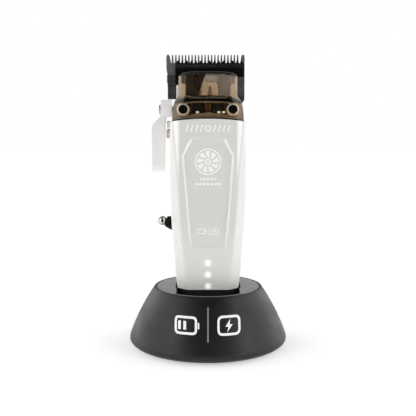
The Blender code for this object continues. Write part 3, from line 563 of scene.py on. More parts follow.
class Finish(Graph):
    """A Principled material with object-space noise behind its colour, roughness and bump."""

    def __init__(self, name, colour, roughness, metallic=0.0, **sockets):
        self.material = bpy.data.materials.new(name)
        self.material.use_nodes = True
        super().__init__(self.material.node_tree)
        self.shader = self.tree.nodes["Principled BSDF"]
        self.colour = (*colour, 1.0)
        self.shader.inputs["Base Color"].default_value = self.colour
        self.shader.inputs["Roughness"].default_value = roughness
        self.shader.inputs["Metallic"].default_value = metallic
        for socket, value in sockets.items():
            self.shader.inputs[socket.replace("_", " ")].default_value = value
        self.roughness = roughness
        self.normal = None
        self.place = self.node("ShaderNodeTexCoord").outputs["Object"]

    def drive(self, socket, value):
        self.wire(value, self.shader.inputs[socket])

    def axes(self):
        return self.split(self.place)

    def distance(self, x, z):
        """Distance in metres from the point (x, z) in millimetres, seen from the front."""
        across, _, height = self.axes()
        squares = [self.math("POWER", self.minus(a, b * MM), 2.0) for a, b in ((across, x), (height, z))]
        return self.math("SQRT", self.plus(*squares))

    def slant(self):
        """Distance in metres to the right of a line that leans across the nose."""
        x, _, z = self.axes()
        return self.plus(x, self.times(self.minus(SLANT_TOP_Z * MM, z), SLANT_LEAN))

    def noise(self, size, detail=3.0, stretch=(1, 1, 1)):
        """Noise of a size in millimetres, drawn out by stretch, as a 0 to 1 factor."""
        mapping = self.node("ShaderNodeMapping")
        mapping.inputs["Scale"].default_value = [1 / (size * MM * s) for s in stretch]
        self.wire(self.place, mapping.inputs["Vector"])
        texture = self.node("ShaderNodeTexNoise")
        texture.inputs["Scale"].default_value = 1.0
        texture.inputs["Detail"].default_value = detail
        self.wire(mapping.outputs["Vector"], texture.inputs["Vector"])
        return texture.outputs["Fac"]

    def tint(self, factor, other):
        """Mixes another colour into the base colour by a factor."""
        mix = self.node("ShaderNodeMix", data_type="RGBA")
        self.wire(factor, mix.inputs["Factor"])
        base = self.shader.inputs["Base Color"]
        if base.is_linked:
            self.wire(base.links[0].from_socket, mix.inputs[6])
        else:
            mix.inputs[6].default_value = base.default_value
        mix.inputs[7].default_value = (*other, 1.0)
        self.wire(mix.outputs[2], base)
        return self

    def mottle(self, size, amount, stretch=(1, 1, 1)):
        """Lets the colour drift lighter and darker over a size."""
        shade = tuple(c * (1 - amount) for c in self.colour[:3])
        return self.tint(self.above(self.noise(size, 4.0, stretch)), shade)

    def smudge(self, size, amount, stretch=(1, 1, 1)):
        """Lets the roughness drift by an amount over a size."""
        low = max(self.roughness - amount, 0.02)
        self.drive("Roughness", self.ramp(self.noise(size, 4.0, stretch), low, self.roughness + amount))
        return self

    def bump(self, size, depth, stretch=(1, 1, 1)):
        """Raises the surface by noise of a size and a depth in millimetres."""
        bump = self.node("ShaderNodeBump")
        bump.inputs["Strength"].default_value = 1.0
        bump.inputs["Distance"].default_value = depth * MM
        self.wire(self.noise(size, 3.0, stretch), bump.inputs["Height"])
        if self.normal:
            self.wire(self.normal, bump.inputs["Normal"])
        self.normal = bump.outputs["Normal"]
        self.drive("Normal", self.normal)
        return self

    def edges(self, colour, radius, amount=1.0):
        """Tints the colour along sharp edges, broken up by noise."""
        bevel = self.node("ShaderNodeBevel", samples=6)
        bevel.inputs["Radius"].default_value = radius * MM
        geometry = self.node("ShaderNodeNewGeometry")
        dot = self.node("ShaderNodeVectorMath", operation="DOT_PRODUCT")
        self.wire(bevel.outputs["Normal"], dot.inputs[0])
        self.wire(geometry.outputs["Normal"], dot.inputs[1])
        edge_mask = self.ramp(dot.outputs["Value"], amount, 0.0, 0.80, 0.985)
        broken = self.ramp(self.noise(0.8, 5.0), 0.35, 1.0)
        return self.tint(self.times(edge_mask, broken), colour)


def lighter(colour, share):
    return tuple(min(c * share, 1.0) for c in colour)


# Places in the finishes below are metres in the CAD frame, and grain sizes are millimetres.


def paint_white():
    """Satin white paint, with painted shade that makes the front panel greyer, a painted highlight on the
    recess's sideways-facing walls, and painted light around its three lights and low on the panel.
    """
    made = Finish("white_paint", (0.865, 0.852, 0.822), 0.30, Coat_Weight=0.25, Coat_Roughness=0.18,
                  Emission_Color=(1.0, 0.985, 0.95, 1.0))
    made.mottle(40.0, 0.010).bump(0.45, 0.003).smudge(14.0, 0.015)
    x, y, z = made.axes()
    facing = made.below(y, -0.0135, -0.0125)
    reach = made.minus(made.absolute(x), made.times(z, PANEL_TAPER))
    # Painted shade: the front panel, within its taper, is tinted greyer than the facets
    panel = made.times(made.below(reach, 0.0090, 0.0094), facing)
    made.tint(panel, (0.765, 0.752, 0.730))
    # Painted highlight: the recess's sideways-facing walls are tinted lighter
    normal = made.node("ShaderNodeNewGeometry").outputs["Normal"]
    sideways = made.above(made.absolute(made.split(normal)["X"]), 0.3, 0.5)
    recess = made.times(facing, made.below(reach, 0.0078, 0.0082))
    made.tint(made.times(sideways, recess), (0.95, 0.945, 0.93))
    # Painted light: a glow around the three lights, and a glow rising towards the bottom of the panel
    lights = [made.below(made.distance(0.0, height), 0.0005, 0.0039) for height in LED_HEIGHTS]
    glow = made.math("MAXIMUM", made.math("MAXIMUM", lights[0], lights[1]), lights[2])
    lit = made.times(made.math("POWER", glow, 1.7), facing)
    spread = made.ramp(z, 0.26, 0.0, 0.040, 0.082)
    made.drive("Emission Strength", made.times(made.plus(lit, made.times(spread, panel)), 0.40))
    return made


def paint_lever():
    """White paint with painted light that grows towards the lever's head."""
    made = Finish("lever_paint", (0.93, 0.91, 0.905), 0.32, Emission_Color=(1.0, 0.98, 0.98, 1.0))
    # Painted light: an emission that rises towards the head
    made.drive("Emission Strength", made.ramp(made.axes()["Z"], 0.06, 0.27, 0.138, 0.149))
    made.mottle(14.0, 0.015).bump(0.45, 0.004).smudge(6.0, 0.05)
    return made.edges((0.96, 0.95, 0.95), 0.35, 0.5)


def stand_matte():
    """Soft-touch black plastic with a fine sand texture, painted light towards its top and painted shade at
    its foot.
    """
    made = Finish("stand_matte", (0.0065, 0.0065, 0.0072), 0.43, Specular_IOR_Level=0.45)
    height = made.axes()["Z"]
    # Painted light: lighter towards the top
    made.tint(made.above(height, 0.018, 0.034), (0.018, 0.018, 0.019))
    # Painted shade: darker at the foot
    made.tint(made.below(height, 0.0036, 0.0050), (0.0035, 0.0035, 0.0040))
    made.mottle(22.0, 0.25).bump(0.22, 0.012).smudge(12.0, 0.06)
    return made.edges((0.05, 0.05, 0.052), 0.5, 0.5)


def amber_clear():
    """Smoked amber plastic, with painted shade at its sides, its top and the arched step from collar to nose.

    A painted reflection lightens part of the nose, from the leaning line to the right.
    """
    made = Finish("amber_clear", (0.82, 0.69, 0.52), 0.03, IOR=1.12, Transmission_Weight=1.0, Coat_Weight=0.3)
    made.mottle(20.0, 0.04)
    x, _, z = made.axes()
    square = made.math("POWER", x, 2.0)
    # Painted shade on the arched step between collar and nose
    over = made.above(made.plus(z, made.times(square, 3.4)), 0.1476, 0.1480)
    under = made.below(made.plus(z, made.times(square, 7.0)), 0.1509, 0.1513)
    made.tint(made.times(over, under), (0.085, 0.071, 0.052))
    # Painted shade along the sides
    side = made.plus(made.absolute(x), made.times(z, 0.078))
    made.tint(made.above(side, 0.0307, 0.0313), (0.10, 0.075, 0.05))
    # Painted reflection: a lighter region of the nose, right of the leaning line
    painted_reflection = made.math("MAXIMUM", made.above(z, 0.1583, 0.1589), made.above(x, 0.0052, 0.0060))
    painted_reflection = made.times(painted_reflection, made.above(made.slant(), -0.0013, -0.0005))
    painted_reflection = made.times(painted_reflection, made.below(x, 0.0128, 0.0136))
    made.tint(made.times(painted_reflection, made.above(z, 0.1510, 0.1516)), (0.89, 0.80, 0.70))
    # Painted shade along the top of the nose
    made.tint(made.above(z, 0.1639, 0.1642), (0.06, 0.05, 0.036))
    return made.bump(6.0, 0.003).smudge(8.0, 0.02)


def coated_steel(name, colour):
    """Black coated blade steel, brushed across the teeth, with painted shade low down and edges a little
    lighter.
    """
    made = Finish(name, colour, 0.40, 0.4, Specular_IOR_Level=0.4)
    # Painted shade: darker towards the bottom of the blade
    made.tint(made.below(made.axes()["Z"], 0.158, 0.168), (0.036, 0.035, 0.034))
    made.mottle(7.0, 0.3).bump(0.10, 0.004, (14, 1, 1)).smudge(0.5, 0.07, (20, 1, 1))
    return made.edges(lighter(colour, 1.2), 0.16, 0.8)


def cutter_steel():
    """Black blade steel with one glossier line along it, lighter from just below the line upward as a painted
    highlight, and darker below as painted shade.
    """
    made = Finish("cutter_steel", (0.006, 0.006, 0.006), 0.30)
    height = made.axes()["Z"]
    over = made.ramp(height, 0.08, 0.9, 0.1687, 0.1693)
    under = made.ramp(height, 1.0, 0.1, 0.1705, 0.1710)
    made.drive("Specular IOR Level", made.times(over, under))
    # Painted shade low on the bar, and a painted highlight from just below the glossy line upward
    made.tint(made.below(height, 0.1672, 0.1680), (0.0018, 0.0018, 0.0017))
    made.tint(made.above(height, 0.1682, 0.1686), (0.013, 0.013, 0.012))
    made.mottle(5.0, 0.3).bump(0.10, 0.003, (14, 1, 1)).smudge(0.5, 0.06, (20, 1, 1))
    return made.edges((0.06, 0.058, 0.055), 0.14, 0.7)


def brushed_steel(name, colour, roughness):
    made = Finish(name, colour, roughness, 1.0).mottle(6.0, 0.18).bump(0.12, 0.003, (1, 1, 14))
    return made.smudge(0.5, 0.08, (1, 1, 14)).edges(lighter(colour, 1.3), 0.2, 0.6)


def toggle_chrome():
    """Chrome with a painted dark reflection at its rim and a small painted dark reflection in the face of the
    ball.
    """
    made = Finish("toggle_chrome", (0.74, 0.73, 0.71), 0.08, 1.0)
    reach = made.distance(TOGGLE_TIP[0], TOGGLE_TIP[2])
    # Painted reflection: a darker, less metallic rim
    made.tint(made.above(reach, 0.0018, 0.0026), (0.10, 0.096, 0.09))
    made.drive("Metallic", made.below(reach, 0.0020, 0.0025))
    # Painted reflection: a small dark spot in the face of the ball
    made.tint(made.below(reach, 0.0006, 0.0011), (0.012, 0.011, 0.010))
    return made.smudge(1.2, 0.04)


def turned_metal(name, colour, roughness):
    """Metal with the fine rings that a lathe leaves."""
    made = Finish(name, colour, roughness, 1.0).mottle(2.0, 0.25).bump(0.12, 0.004, (12, 12, 1))
    return made.smudge(0.4, 0.08, (12, 12, 1)).edges(lighter(colour, 1.4), 0.2, 0.6)


def moulded_nylon(name, colour, glow=0.0):
    # glow is painted light: an emission on parts that are no lamps
    made = Finish(name, colour, 0.42, Emission_Strength=glow, Emission_Color=(1.0, 0.90, 0.78, 1.0))
    made.mottle(3.0, 0.12).bump(0.3, 0.008).smudge(2.0, 0.08)
    return made.edges(lighter(colour, 1.2), 0.25, 0.6)


def board_green():
    """A circuit board with copper tracks under its green mask."""
    made = Finish("board_green", (0.016, 0.095, 0.045), 0.32, Coat_Weight=0.4)
    made.tint(made.below(made.noise(2.2, 0.0, (1, 1, 4)), 0.47, 0.50), (0.05, 0.20, 0.08))
    return made.bump(0.9, 0.02).smudge(2.0, 0.06)


def pad_print(name, colour, painted_light=0.0):
    """Printed ink, which an emission brightens as painted light."""
    made = Finish(name, colour, 0.45, Emission_Strength=painted_light, Emission_Color=(*colour, 1.0))
    return made.mottle(1.2, 0.06).bump(0.12, 0.004)


def slate_steel(name, shade_edge_x, colour):
    """Grey coated steel, with painted shade to the left of a line that lies the given number of millimetres
    right of the leaning line.
    """
    made = Finish(name, colour, 0.42, 0.05)
    made.tint(made.below(made.slant(), (shade_edge_x - 0.4) * MM, (shade_edge_x + 0.4) * MM), (0.036, 0.030, 0.022))
    made.bump(0.12, 0.003, (1, 1, 12)).smudge(0.6, 0.07, (1, 1, 12))
    return made.edges((0.4, 0.37, 0.33), 0.2, 0.3)


SLATE = (0.80, 0.79, 0.80)
# Each finish and the slot it fills
FINISHES = {
    "white": (paint_white(), "white_paint"),
    "lever": (paint_lever(), "lever_paint"),
    "stand": (stand_matte(), "stand_plastic"),
    "disc": (Finish("disc_satin", (0.25, 0.25, 0.253), 0.34, Specular_IOR_Level=0.9).mottle(18.0, 0.15)
             .bump(0.18, 0.008).smudge(7.0, 0.05).edges((0.13, 0.13, 0.13), 0.4, 0.6), "disc_plastic"),
    "plastic": (Finish("black_plastic", (0.013, 0.013, 0.0135), 0.38).mottle(9.0, 0.3).bump(0.25, 0.010)
                .smudge(5.0, 0.08).edges((0.035, 0.035, 0.036), 0.3, 0.6), "black_plastic"),
    "rubber": (Finish("black_rubber", (0.005, 0.0047, 0.0044), 0.66, Specular_IOR_Level=0.12)
               .mottle(4.0, 0.35).bump(0.16, 0.02).smudge(3.0, 0.08), "rubber"),
    "amber": (amber_clear(), "amber_clear"),
    "blade": (coated_steel("coated_steel", (0.18, 0.176, 0.168)), "black_steel"),
    "blade_shade": (coated_steel("shaded_steel", (0.085, 0.083, 0.078)), "black_steel"),
    "cutter": (cutter_steel(), "black_steel"),
    "black_screw": (brushed_steel("black_screw", (0.012, 0.0115, 0.011), 0.45), "black_steel"),
    "steel": (brushed_steel("steel", (0.56, 0.56, 0.57), 0.30), "steel"),
    "shaft": (turned_metal("turned_steel", (0.56, 0.56, 0.57), 0.24), "steel"),
    "slate": (slate_steel("slate_steel", -0.9, SLATE), "steel"),
    # The next steel is wholly in painted shade, and the one after has none
    "slate_painted_shade": (slate_steel("slate_painted_shade", 100.0, SLATE), "steel"),
    "slate_light": (slate_steel("slate_light", -100.0, (0.40, 0.41, 0.44)), "steel"),
    "chrome": (toggle_chrome(), "chrome"),
    "bronze": (turned_metal("turned_bronze", (0.16, 0.085, 0.035), 0.34), "bronze"),
    "gold": (turned_metal("gold_plate", (0.84, 0.62, 0.27), 0.20), "gold"),
    "copper": (Finish("copper_winding", (0.60, 0.26, 0.10), 0.28, 0.9, Coat_Weight=0.5)
               .mottle(0.5, 0.5, (10, 10, 1)).bump(0.35, 0.08, (30, 30, 1)), "copper"),
    "tan": (moulded_nylon("tan_nylon", (0.95, 0.91, 0.88)), "tan_plastic"),
    # tan_pale and tan_frame glow with painted light
    "tan_pale": (moulded_nylon("tan_pale", (0.95, 0.92, 0.89), 0.17), "tan_plastic"),
    "tan_frame": (moulded_nylon("tan_frame", (0.92, 0.89, 0.86), 0.07), "tan_plastic"),
    "tan_dark": (moulded_nylon("tan_dark", (0.40, 0.37, 0.34)), "tan_plastic"),
    # The knob glows with painted light
    "knob": (moulded_nylon("knob_grey", (0.66, 0.66, 0.66), 0.05), "knob_grey"),
    "board": (board_green(), "circuit_board"),
    "cell": (Finish("cell_wrap", (0.05, 0.14, 0.36), 0.26, Coat_Weight=0.6, Coat_Roughness=0.12)
             .mottle(10.0, 0.2).bump(2.5, 0.03, (1, 1, 5)).smudge(4.0, 0.06), "battery_wrap"),
    "light": (Finish("light_diffuser", (0.95, 0.95, 0.93), 0.3, Emission_Strength=0.45,
                     Emission_Color=(1.0, 0.99, 0.97, 1.0)).mottle(0.6, 0.05).bump(0.2, 0.005), "light_pipe"),
    # The white and pale inks are brightened with painted light
    "ink_white": (pad_print("ink_white", (0.93, 0.93, 0.93), 0.25), "light_pipe"),
    "ink_pale": (pad_print("ink_pale", (0.95, 0.945, 0.93), 0.10), "white_paint"),
    "ink_grey": (pad_print("ink_grey", (0.30, 0.30, 0.30)), "knob_grey"),
    "ink_soft": (pad_print("ink_soft", (0.70, 0.68, 0.65)), "lever_paint"),
}
# CAD nodes that stay as they are and take a finish
PLAIN = {
    "gold": ("contact_pin_left", "contact_pin_right", "charge_contact_left", "charge_contact_right"),
    "plastic": ("stand_base_plate", "inner_chassis", "switch_body"),
    "steel": ("stand_ballast",),
    "shaft": ("rotor_shaft", "rotor_magnet", "motor_bearing", "motor_can", "lever_cam", "tension_spring"),
    "copper": ("stator_coil",),
    "cell": ("battery_cell",),
    "board": ("main_circuit_board",),
    "light": ("charge_light_1", "charge_light_2", "charge_light_3"),
    "slate": ("follower_screw_left", "follower_screw_right"),
}


def dress(obj, finish, body, *replaced):
    """Gives a piece its finish, its body and the CAD nodes it stands for."""
    made, slot = FINISHES[finish]
    obj.data.materials.clear()
    obj.data.materials.append(made.material)
    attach(obj, body)
    if replaced:
        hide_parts(*replaced)


def refine(node, finish, body, width, segments=2, angle=35.0):
    """Puts a copy of a CAD solid in its place, with its flat faces merged and its edges rounded."""
    bm = bmesh.new()
    bm.from_mesh(NODES[node].data)
    bmesh.ops.remove_doubles(bm, verts=bm.verts, dist=MERGE)
    merge_flats(bm)
    obj = link(node + "_fine", bm, angle)
    if "custom_normal" in obj.data.attributes:
        obj.data.attributes.remove(obj.data.attributes["custom_normal"])
    dress(soften(obj, width, segments, angle), finish, body, node)


def finish_plain_nodes():
    for finish, names in PLAIN.items():
        for name in names:
            data = NODES[name].data
            if not data.materials:
                data.materials.append(None)
            for i in range(len(data.materials)):
                data.materials[i] = FINISHES[finish][0].material


# ---------------------------------------------------------------- stand


def build_stand():
    """The dome, the disc on it, the grooved pad under it, and the inlet in its back."""
    inner = [(43.6, 0.7), (43.6, 6.0)] + bend((45.4, 8.0), (41.0, 19.5), (31.9, 31.5), 12)
    dome = turned("stand_dome", DOME + inner, 192, closed=True, angle=40)
    cut(dome, rod("inlet_hole", 4.4, (0, 38, INLET_Z), BACK, 14), angle=40)
    dress(dome, "stand", "stand", "stand_shell")
    dress(build_cradle(), "disc", "stand", "cradle")

    grooves = [(0, 1.2), (42.1, 1.2), (42.6, 0.9), (42.6, 0.5), (42.1, 0.05)]
    for radius in (38.0, 32.0, 26.0, 20.0):
        grooves += [(radius + 1.0, 0.05), (radius + 0.5, 0.5), (radius - 0.5, 0.5), (radius - 1.0, 0.05)]
    pad = turned("base_pad_fine", grooves + [(0, 0.05)], 128)
    dress(pad, "rubber", "stand", "base_pad")

    trim = [(3.15, 0.0), (3.15, 11.0), (3.35, 11.2), (3.8, 11.2), (4.0, 11.0), (4.0, 0.0)]
    socket = turned("power_inlet_fine", trim, 96, closed=True)
    core = [(0, 0.0), (3.6, 0.0), (3.6, 2.0), (1.0, 2.0), (1.0, 9.3)]
    core += bend((1.0, 9.3), (1.0, 9.8), (0.5, 9.8), 4)[1:] + [(0, 9.8)]
    join(socket, turned("inlet_core", core, 48))
    dress(aim(socket, (0, 34.0, INLET_Z), BACK), "plastic", "stand", "power_inlet")
    refine("stand_circuit_board", "board", "stand", 0.1)
    refine("contact_block", "plastic", "stand", 0.4)


def build_cradle():
    """The top disc with the walls of the pocket under it."""
    rim = [(0, CRADLE_FOOT), (DISC_R, CRADLE_FOOT), (DISC_R, DISC_TOP - 0.35), (DISC_R - 0.35, DISC_TOP)]
    rim.append((0, DISC_TOP))
    cradle = turned("cradle_fine", rim, 192)
    far, disc_low = 40, 33.9
    tools = [box("side", (low_x, -far, 10), (low_x + 19.2, far, disc_low)) for low_x in (-far, 20.8)]
    tools.append(box("back", (-far, 16.7, 10), (far, far, disc_low)))
    tools.append(box("front", (-far, -far, 10), (far, -16.7, 26.2)))
    pocket = rounded_box((0, 0), 38.0, 29.8, 2.0)
    tools.append(plate("pocket", pocket, (21.7, far), "Z"))
    well_r, well_x = 30.9, 19.0
    edge = math.degrees(math.acos(well_x / well_r))
    well = arc(well_r, 180 + edge, 360 - edge, 40) + [(well_x, -12), (-well_x, -12)]
    tools.append(plate("well", well, (28.0, far), "Z"))
    relief = rounded_box((0, -0.5), 39.8, 17.0, 0.8)
    tools.append(plate("relief", relief, (30.0, far), "Z"))
    cut(cradle, *tools)
    join(cradle, *[rod("post", 3.2, (x, y, 4.2), UP, 30.5) for x, y in CRADLE_POSTS])
    bores = [rod("bore", 1.5, (x, y, 2), UP, 13) for x, y in CRADLE_POSTS]
    bores += [rod("pin_hole", 1.3, (x, 0, 18), UP, 6) for x in (-6.0, 6.0)]
    cut(cradle, *bores)
    return soften(cradle, 0.22, 2, 50)


def build_stand_marks():
    """A battery sign and a charging sign, either side of a line."""
    line = bar(0.0, MARK_Z + 0.6, 0.9, 17.6)
    dress(printed("stand_line", [line], dome_front, 1), "ink_grey", "stand")
    battery = [frame_shape((-12.6, MARK_Z), 12.8, 9.4, 2.6, 1.25)]
    battery.append([rounded_box((-5.4, MARK_Z), 0.9, 3.2, 0.3)])
    battery += [[rounded_box((x, MARK_Z), 1.6, 4.4, 0.4)] for x in (-16.2, -13.2)]
    dress(printed("stand_battery_sign", battery, dome_front, 2, 0.1), "ink_white", "stand")
    bolt = [(0.9, 3.4), (-2.1, -0.6), (-0.3, -0.6), (-1.0, -3.4), (2.1, 0.5), (0.3, 0.5)]
    bolt = [(x + 11.9, z + MARK_Z) for x, z in bolt]
    charging = [frame_shape((11.9, MARK_Z), 13.2, 10.2, 3.2, 1.25), [bolt]]
    dress(printed("stand_charging_sign", charging, dome_front, 2, 0.1), "ink_white", "stand")


# ---------------------------------------------------------------- clipper body


def build_front_shell():
    """The front half, with the recess in its panel, the three lights' holes and the screw's post."""
    rings = []
    for z in levels(BODY, 3.0):
        share = max(0.0, (z - ARCH_FOOT_Z) / (BODY[-1][0] - ARCH_FOOT_Z))
        rings.append(half_ring(station_at(BODY, z), -1, -0.15, 1.6, share * share))
    shell = thicken(loft("front_shell_fine", rings, angle=SHELL_ANGLE), SHELL_WALL, SHELL_ANGLE)
    # The recess's right half, its floor within that, and its mouth wider by as far as it stands proud
    half = [(9.8, 126.5), (15.3, 116.1), (10.7, RECESS_FOOT_Z)]
    floor_half = [(x - 1.2 if z < 120 else x - 0.8, z - (1.0 if z > 120 else 0.0)) for x, z in half]
    deep, proud = RECESS_Y, -18.4
    floor = eased(mirrored(floor_half), 1.2)
    spread = (deep - proud) / (deep - FRONT_Y)
    mouth_half = [(x + 1.2 * spread, z + (1.1 * spread if z > 120 else 0.0)) for x, z in floor_half]
    mouth_half[-1] = (mouth_half[-1][0], RECESS_FOOT_Z - (RECESS_FOOT_Z - RAMP_FOOT_Z) * spread)
    mouth = eased(mirrored(mouth_half), 1.6)
    rings = [[(x, deep, z) for x, z in floor], [(x, proud, z) for x, z in mouth]]
    recess = loft("recess", rings, wrap=True, ends="capped")
    holes = [rod("light_hole", 1.15, (0, -10, z), FRONT, 10, 32) for z in LED_HEIGHTS]
    cut(shell, recess, *holes, angle=SHELL_ANGLE)
    join(shell, rod("post", 2.7, (0, 9.0, SHELL_SCREW_Z), FRONT, 24.6, 32), angle=SHELL_ANGLE)
    cut(shell, rod("bore", 1.5, (0, 12, SHELL_SCREW_Z), FRONT, 12.0, 32), angle=SHELL_ANGLE)
    dress(weigh(shell), "white", "clipper", "front_shell")


def build_rear_shell():
    """The rear half, with the blades' seats, the detent's boss and the holes for what passes through."""
    rings = [half_ring(station_at(BODY, z), 1, 0.15, 1.6) for z in levels(BODY, 3.0)]
    rings += [half_ring(station_at(SHOULDER, z), 1, 0.5, 1.4) for z in levels(SHOULDER, 1.4)]
    shell = thicken(loft("rear_shell_fine", rings, angle=SHELL_ANGLE), SHELL_WALL, SHELL_ANGLE)
    solids = []
    for side in (-1, 1):
        x0, x1 = (-19.1, -12.6) if side < 0 else (12.6, 17.0)
        post = rounded_box(((x0 + x1) / 2, 3.375), x1 - x0, 5.65, 0.5)
        solids.append(plate("seat_post", post, (134.2, 158.0), "Z"))
        x0, x1 = sorted((side * 11.4, side * 15.0))
        solids.append(box("seat_block", (x0, 0.9, 134.0), (x1, 9.0, 146.4)))
    boss = eased([(2.5, 132.2), (8.5, 132.2), (8.5, 136.7), (2.5, 136.7)], 0.8)
    solids.append(plate("detent_boss", boss, (-25.0, -21.5), "X"))
    join(shell, *solids, angle=SHELL_ANGLE)
    tools = [rod("cam_bore", 2.5, (-8, *LEVER_PIVOT), LEFT, 16)]
    tools.append(rod("switch_hole", 3.3, (-17, *SWITCH_AT[1:]), LEFT, 8))
    tools.append(rod("knob_hole", 1.9, (-18, *KNOB_AT[1:]), LEFT, 8))
    tools.append(rod("screw_hole", 1.6, (0, 12, SHELL_SCREW_Z), BACK, 8))
    sink = turned("screw_sink", [(0, 0), (2.8, 0), (2.8, 0.9), (3.3, 1.6), (3.3, 4), (0, 4)], 48)
    tools.append(aim(sink, (0, 16.0, SHELL_SCREW_Z), BACK))
    for x, z in COVER_SCREWS:
        tools.append(rod("insert", 1.6, (x, -1, z), BACK, 4.0, 32))
    for x, z in BLADE_SCREWS:
        tools.append(rod("insert", 1.6, (x, 7.0, z), FRONT, 5.0, 32))
    cut(shell, *tools, angle=SHELL_ANGLE)
    dress(weigh(shell), "white", "clipper", "rear_shell")


def build_body_marks():
    """Printed marks: slashes under the collar, a rotor emblem, dashes, small signs, and O and I."""
    slashes = [bar(x, SLASH_Z, 0.75, 3.9, 0.55) for x in (-12.2, -9.4, -6.6, -3.8, 3.8, 6.6, 9.4, 12.2)]
    slashes.append([circle(radius, (0, SLASH_Z)) for radius in (1.9, 1.25)])
    dress(printed("collar_slashes", slashes, body_front), "ink_pale", "clipper")

    centre = (0, EMBLEM_Z)
    emblem = [[circle(7.8, centre, 64), circle(7.1, centre, 64)], [circle(1.9, centre), circle(0.9, centre)]]
    for start in range(0, 360, 40):
        emblem.append([arc(6.3, start, start + 27, 8, centre) + arc(2.7, start + 14, start - 10, 5, centre)])
    dress(printed("rotor_emblem", emblem, recess_front), "ink_pale", "clipper")

    dashes = [[rounded_box((x, 102.4), 1.5, 1.2, 0.3)] for x in (-4.0, -2.0, 0.0, 2.0, 4.0)]
    dashes += [[rounded_box((2.35 * i, 99.5), 1.7, 1.3, 0.3)] for i in range(-3, 4)]
    dress(printed("emblem_dashes", dashes, recess_front), "ink_pale", "clipper")

    signs = [frame_shape((-3.9, SIGN_Z), 5.0, 3.1, 0.9, 0.5), [rounded_box((-1.05, SIGN_Z), 0.45, 1.3, 0.15)]]
    signs.append(bar(0.35, SIGN_Z, 0.22, 6.4))
    bolt = [(0.45, 1.5), (-0.95, -0.25), (-0.1, -0.25), (-0.45, -1.5), (0.95, 0.25), (0.1, 0.25)]
    signs.append(frame_shape((4.1, SIGN_Z), 5.0, 3.9, 1.1, 0.5))
    signs.append([[(x + 4.1, z * 0.85 + SIGN_Z) for x, z in bolt]])
    dress(printed("panel_signs", signs, recess_front), "ink_pale", "clipper")

    letter_o = [[(x * narrow + SWITCH_MARK_X, z + 77.9) for x, z in circle(radius, steps=32)]
                for radius, narrow in ((1.35, 0.8), (1.05, 0.72))]
    marks = [letter_o, bar(SWITCH_MARK_X + 1.0, 65.1, 0.32, 2.6)]
    dress(printed("switch_marks", marks, body_front, 1, 0.03), "ink_soft", "clipper")


# ---------------------------------------------------------------- cover and its inside


def build_cover():
    """The smoked cover, and what lies against its inside: bosses, a dark sheet and dark walls of painted
    shade, a frame, seal and strip.
    """
    rings = []
    for z in levels(COVER, 0.8):
        share = max(0.0, 1.0 - (z - COVER[0][0]) / 3.0)
        rings.append(half_ring(station_at(COVER, z), -1, -0.2, 1.5, share * share))
    cover = thicken(loft("head_cover_fine", rings, angle=35), COVER_WALL, 35)
    cut(cover, *[rod("sink", 2.95, (x, -14.2, z), FRONT, 6, 48) for x, z in COVER_SCREWS], angle=35)
    dress(weigh(cover), "amber", "clipper", "head_cover")
    sleeve = [(1.6, 0), (3.5, 0), (3.5, 14.2), (3.2, 14.6), (2.95, 14.6), (2.95, 13.6), (1.6, 13.6)]
    # The bosses' pale finish glows with painted light
    for (x, z), side in zip(COVER_SCREWS, ("left", "right")):
        boss = turned(f"cover_boss_{side}", sleeve, 64, closed=True)
        dress(aim(boss, (x, -0.6, z), FRONT), "tan_pale", "clipper")
    # A dark sheet inside the collar's step: painted shade where the step shows the unlit inside
    shade_sheet = [(146.2, 14.6, 12.6, 15.3, 0.0, 11.9), (148.2, 14.4, 12.2, 15.1, 0.0, 11.4)]
    shade_sheet += [(149.4, 14.2, 11.8, 14.6, 0.0, 11.1), (149.6, 13.8, 11.2, 11.6, 0.0, 7.6)]
    shade_sheet += [(149.8, 13.7, 11.1, 11.5, 0.0, 7.5)]
    rings = [half_ring(station, -1, -0.5, 1.2, share) for station, share in zip(shade_sheet, SHADE_SHEET_LIFT)]
    dress(thicken(loft("collar_shade_sheet", rings, angle=35), 0.35, 35), "tan_dark", "clipper")
    # The black walls are dark sheets of painted shade in front of the pale parts behind them
    wall = [(3.9, 135.3), (15.2, 135.3), (15.2, 144.8), (11.6, 147.4), (3.9, 147.4)]
    # The tan frame glows with painted light and makes the pale glints along the nose's sides
    rim = [(16.9, 163.2), (17.3, 160.0), (17.3, 151.3), (17.8, 150.2), (18.3, 149.6), (19.4, 148.2)]
    rim += [(20.2, 145.8), (20.7, 141.8), (21.2, 137.4), (15.3, 137.4), (15.3, 144.8), (12.0, 147.2)]
    rim += [(12.6, 149.6), (14.1, 150.9), (14.1, 158.8), (15.9, 159.2), (15.9, 162.8)]
    frame_depth = (-0.75, -0.3)
    panels = (("collar_shade_wall", wall, (-1.1, -0.75), "plastic"), ("cover_frame", rim, frame_depth, "tan_frame"))
    for side, name, (screw_x, screw_z) in zip((-1, 1), ("left", "right"), COVER_SCREWS):
        for piece, outline, depth, finish in panels:
            panel = plate(f"{piece}_{name}", [(side * x, z) for x, z in outline], depth)
            cut(panel, rod("sleeve_hole", 3.7, (screw_x, 1, screw_z), FRONT, 4, 64))
            dress(panel, finish, "clipper")
    outer = [(12.4, 165.5), (13.6, 165.3), (15.4, 164.7), (16.9, 163.2)]
    inner = [(12.2, 164.7), (13.2, 164.5), (14.8, 164.0), (15.9, 162.8)]
    seal = [(-x, z) for x, z in reversed(outer)] + outer + inner[::-1] + [(-x, z) for x, z in inner]
    dress(plate("cover_seal", seal, frame_depth), "rubber", "clipper")
    strip = [(17.5, 136.8), (12.5, 136.9), (0.0, 138.0), (-12.5, 136.9), (-17.5, 136.8)]
    strip += [(-17.5, 139.4), (-10.5, 140.0), (0.0, 141.4), (10.5, 140.0), (17.5, 139.4)]
    dress(soften(plate("collar_strip", strip, (-14.2, -13.2)), 0.15), "tan_dark", "clipper")


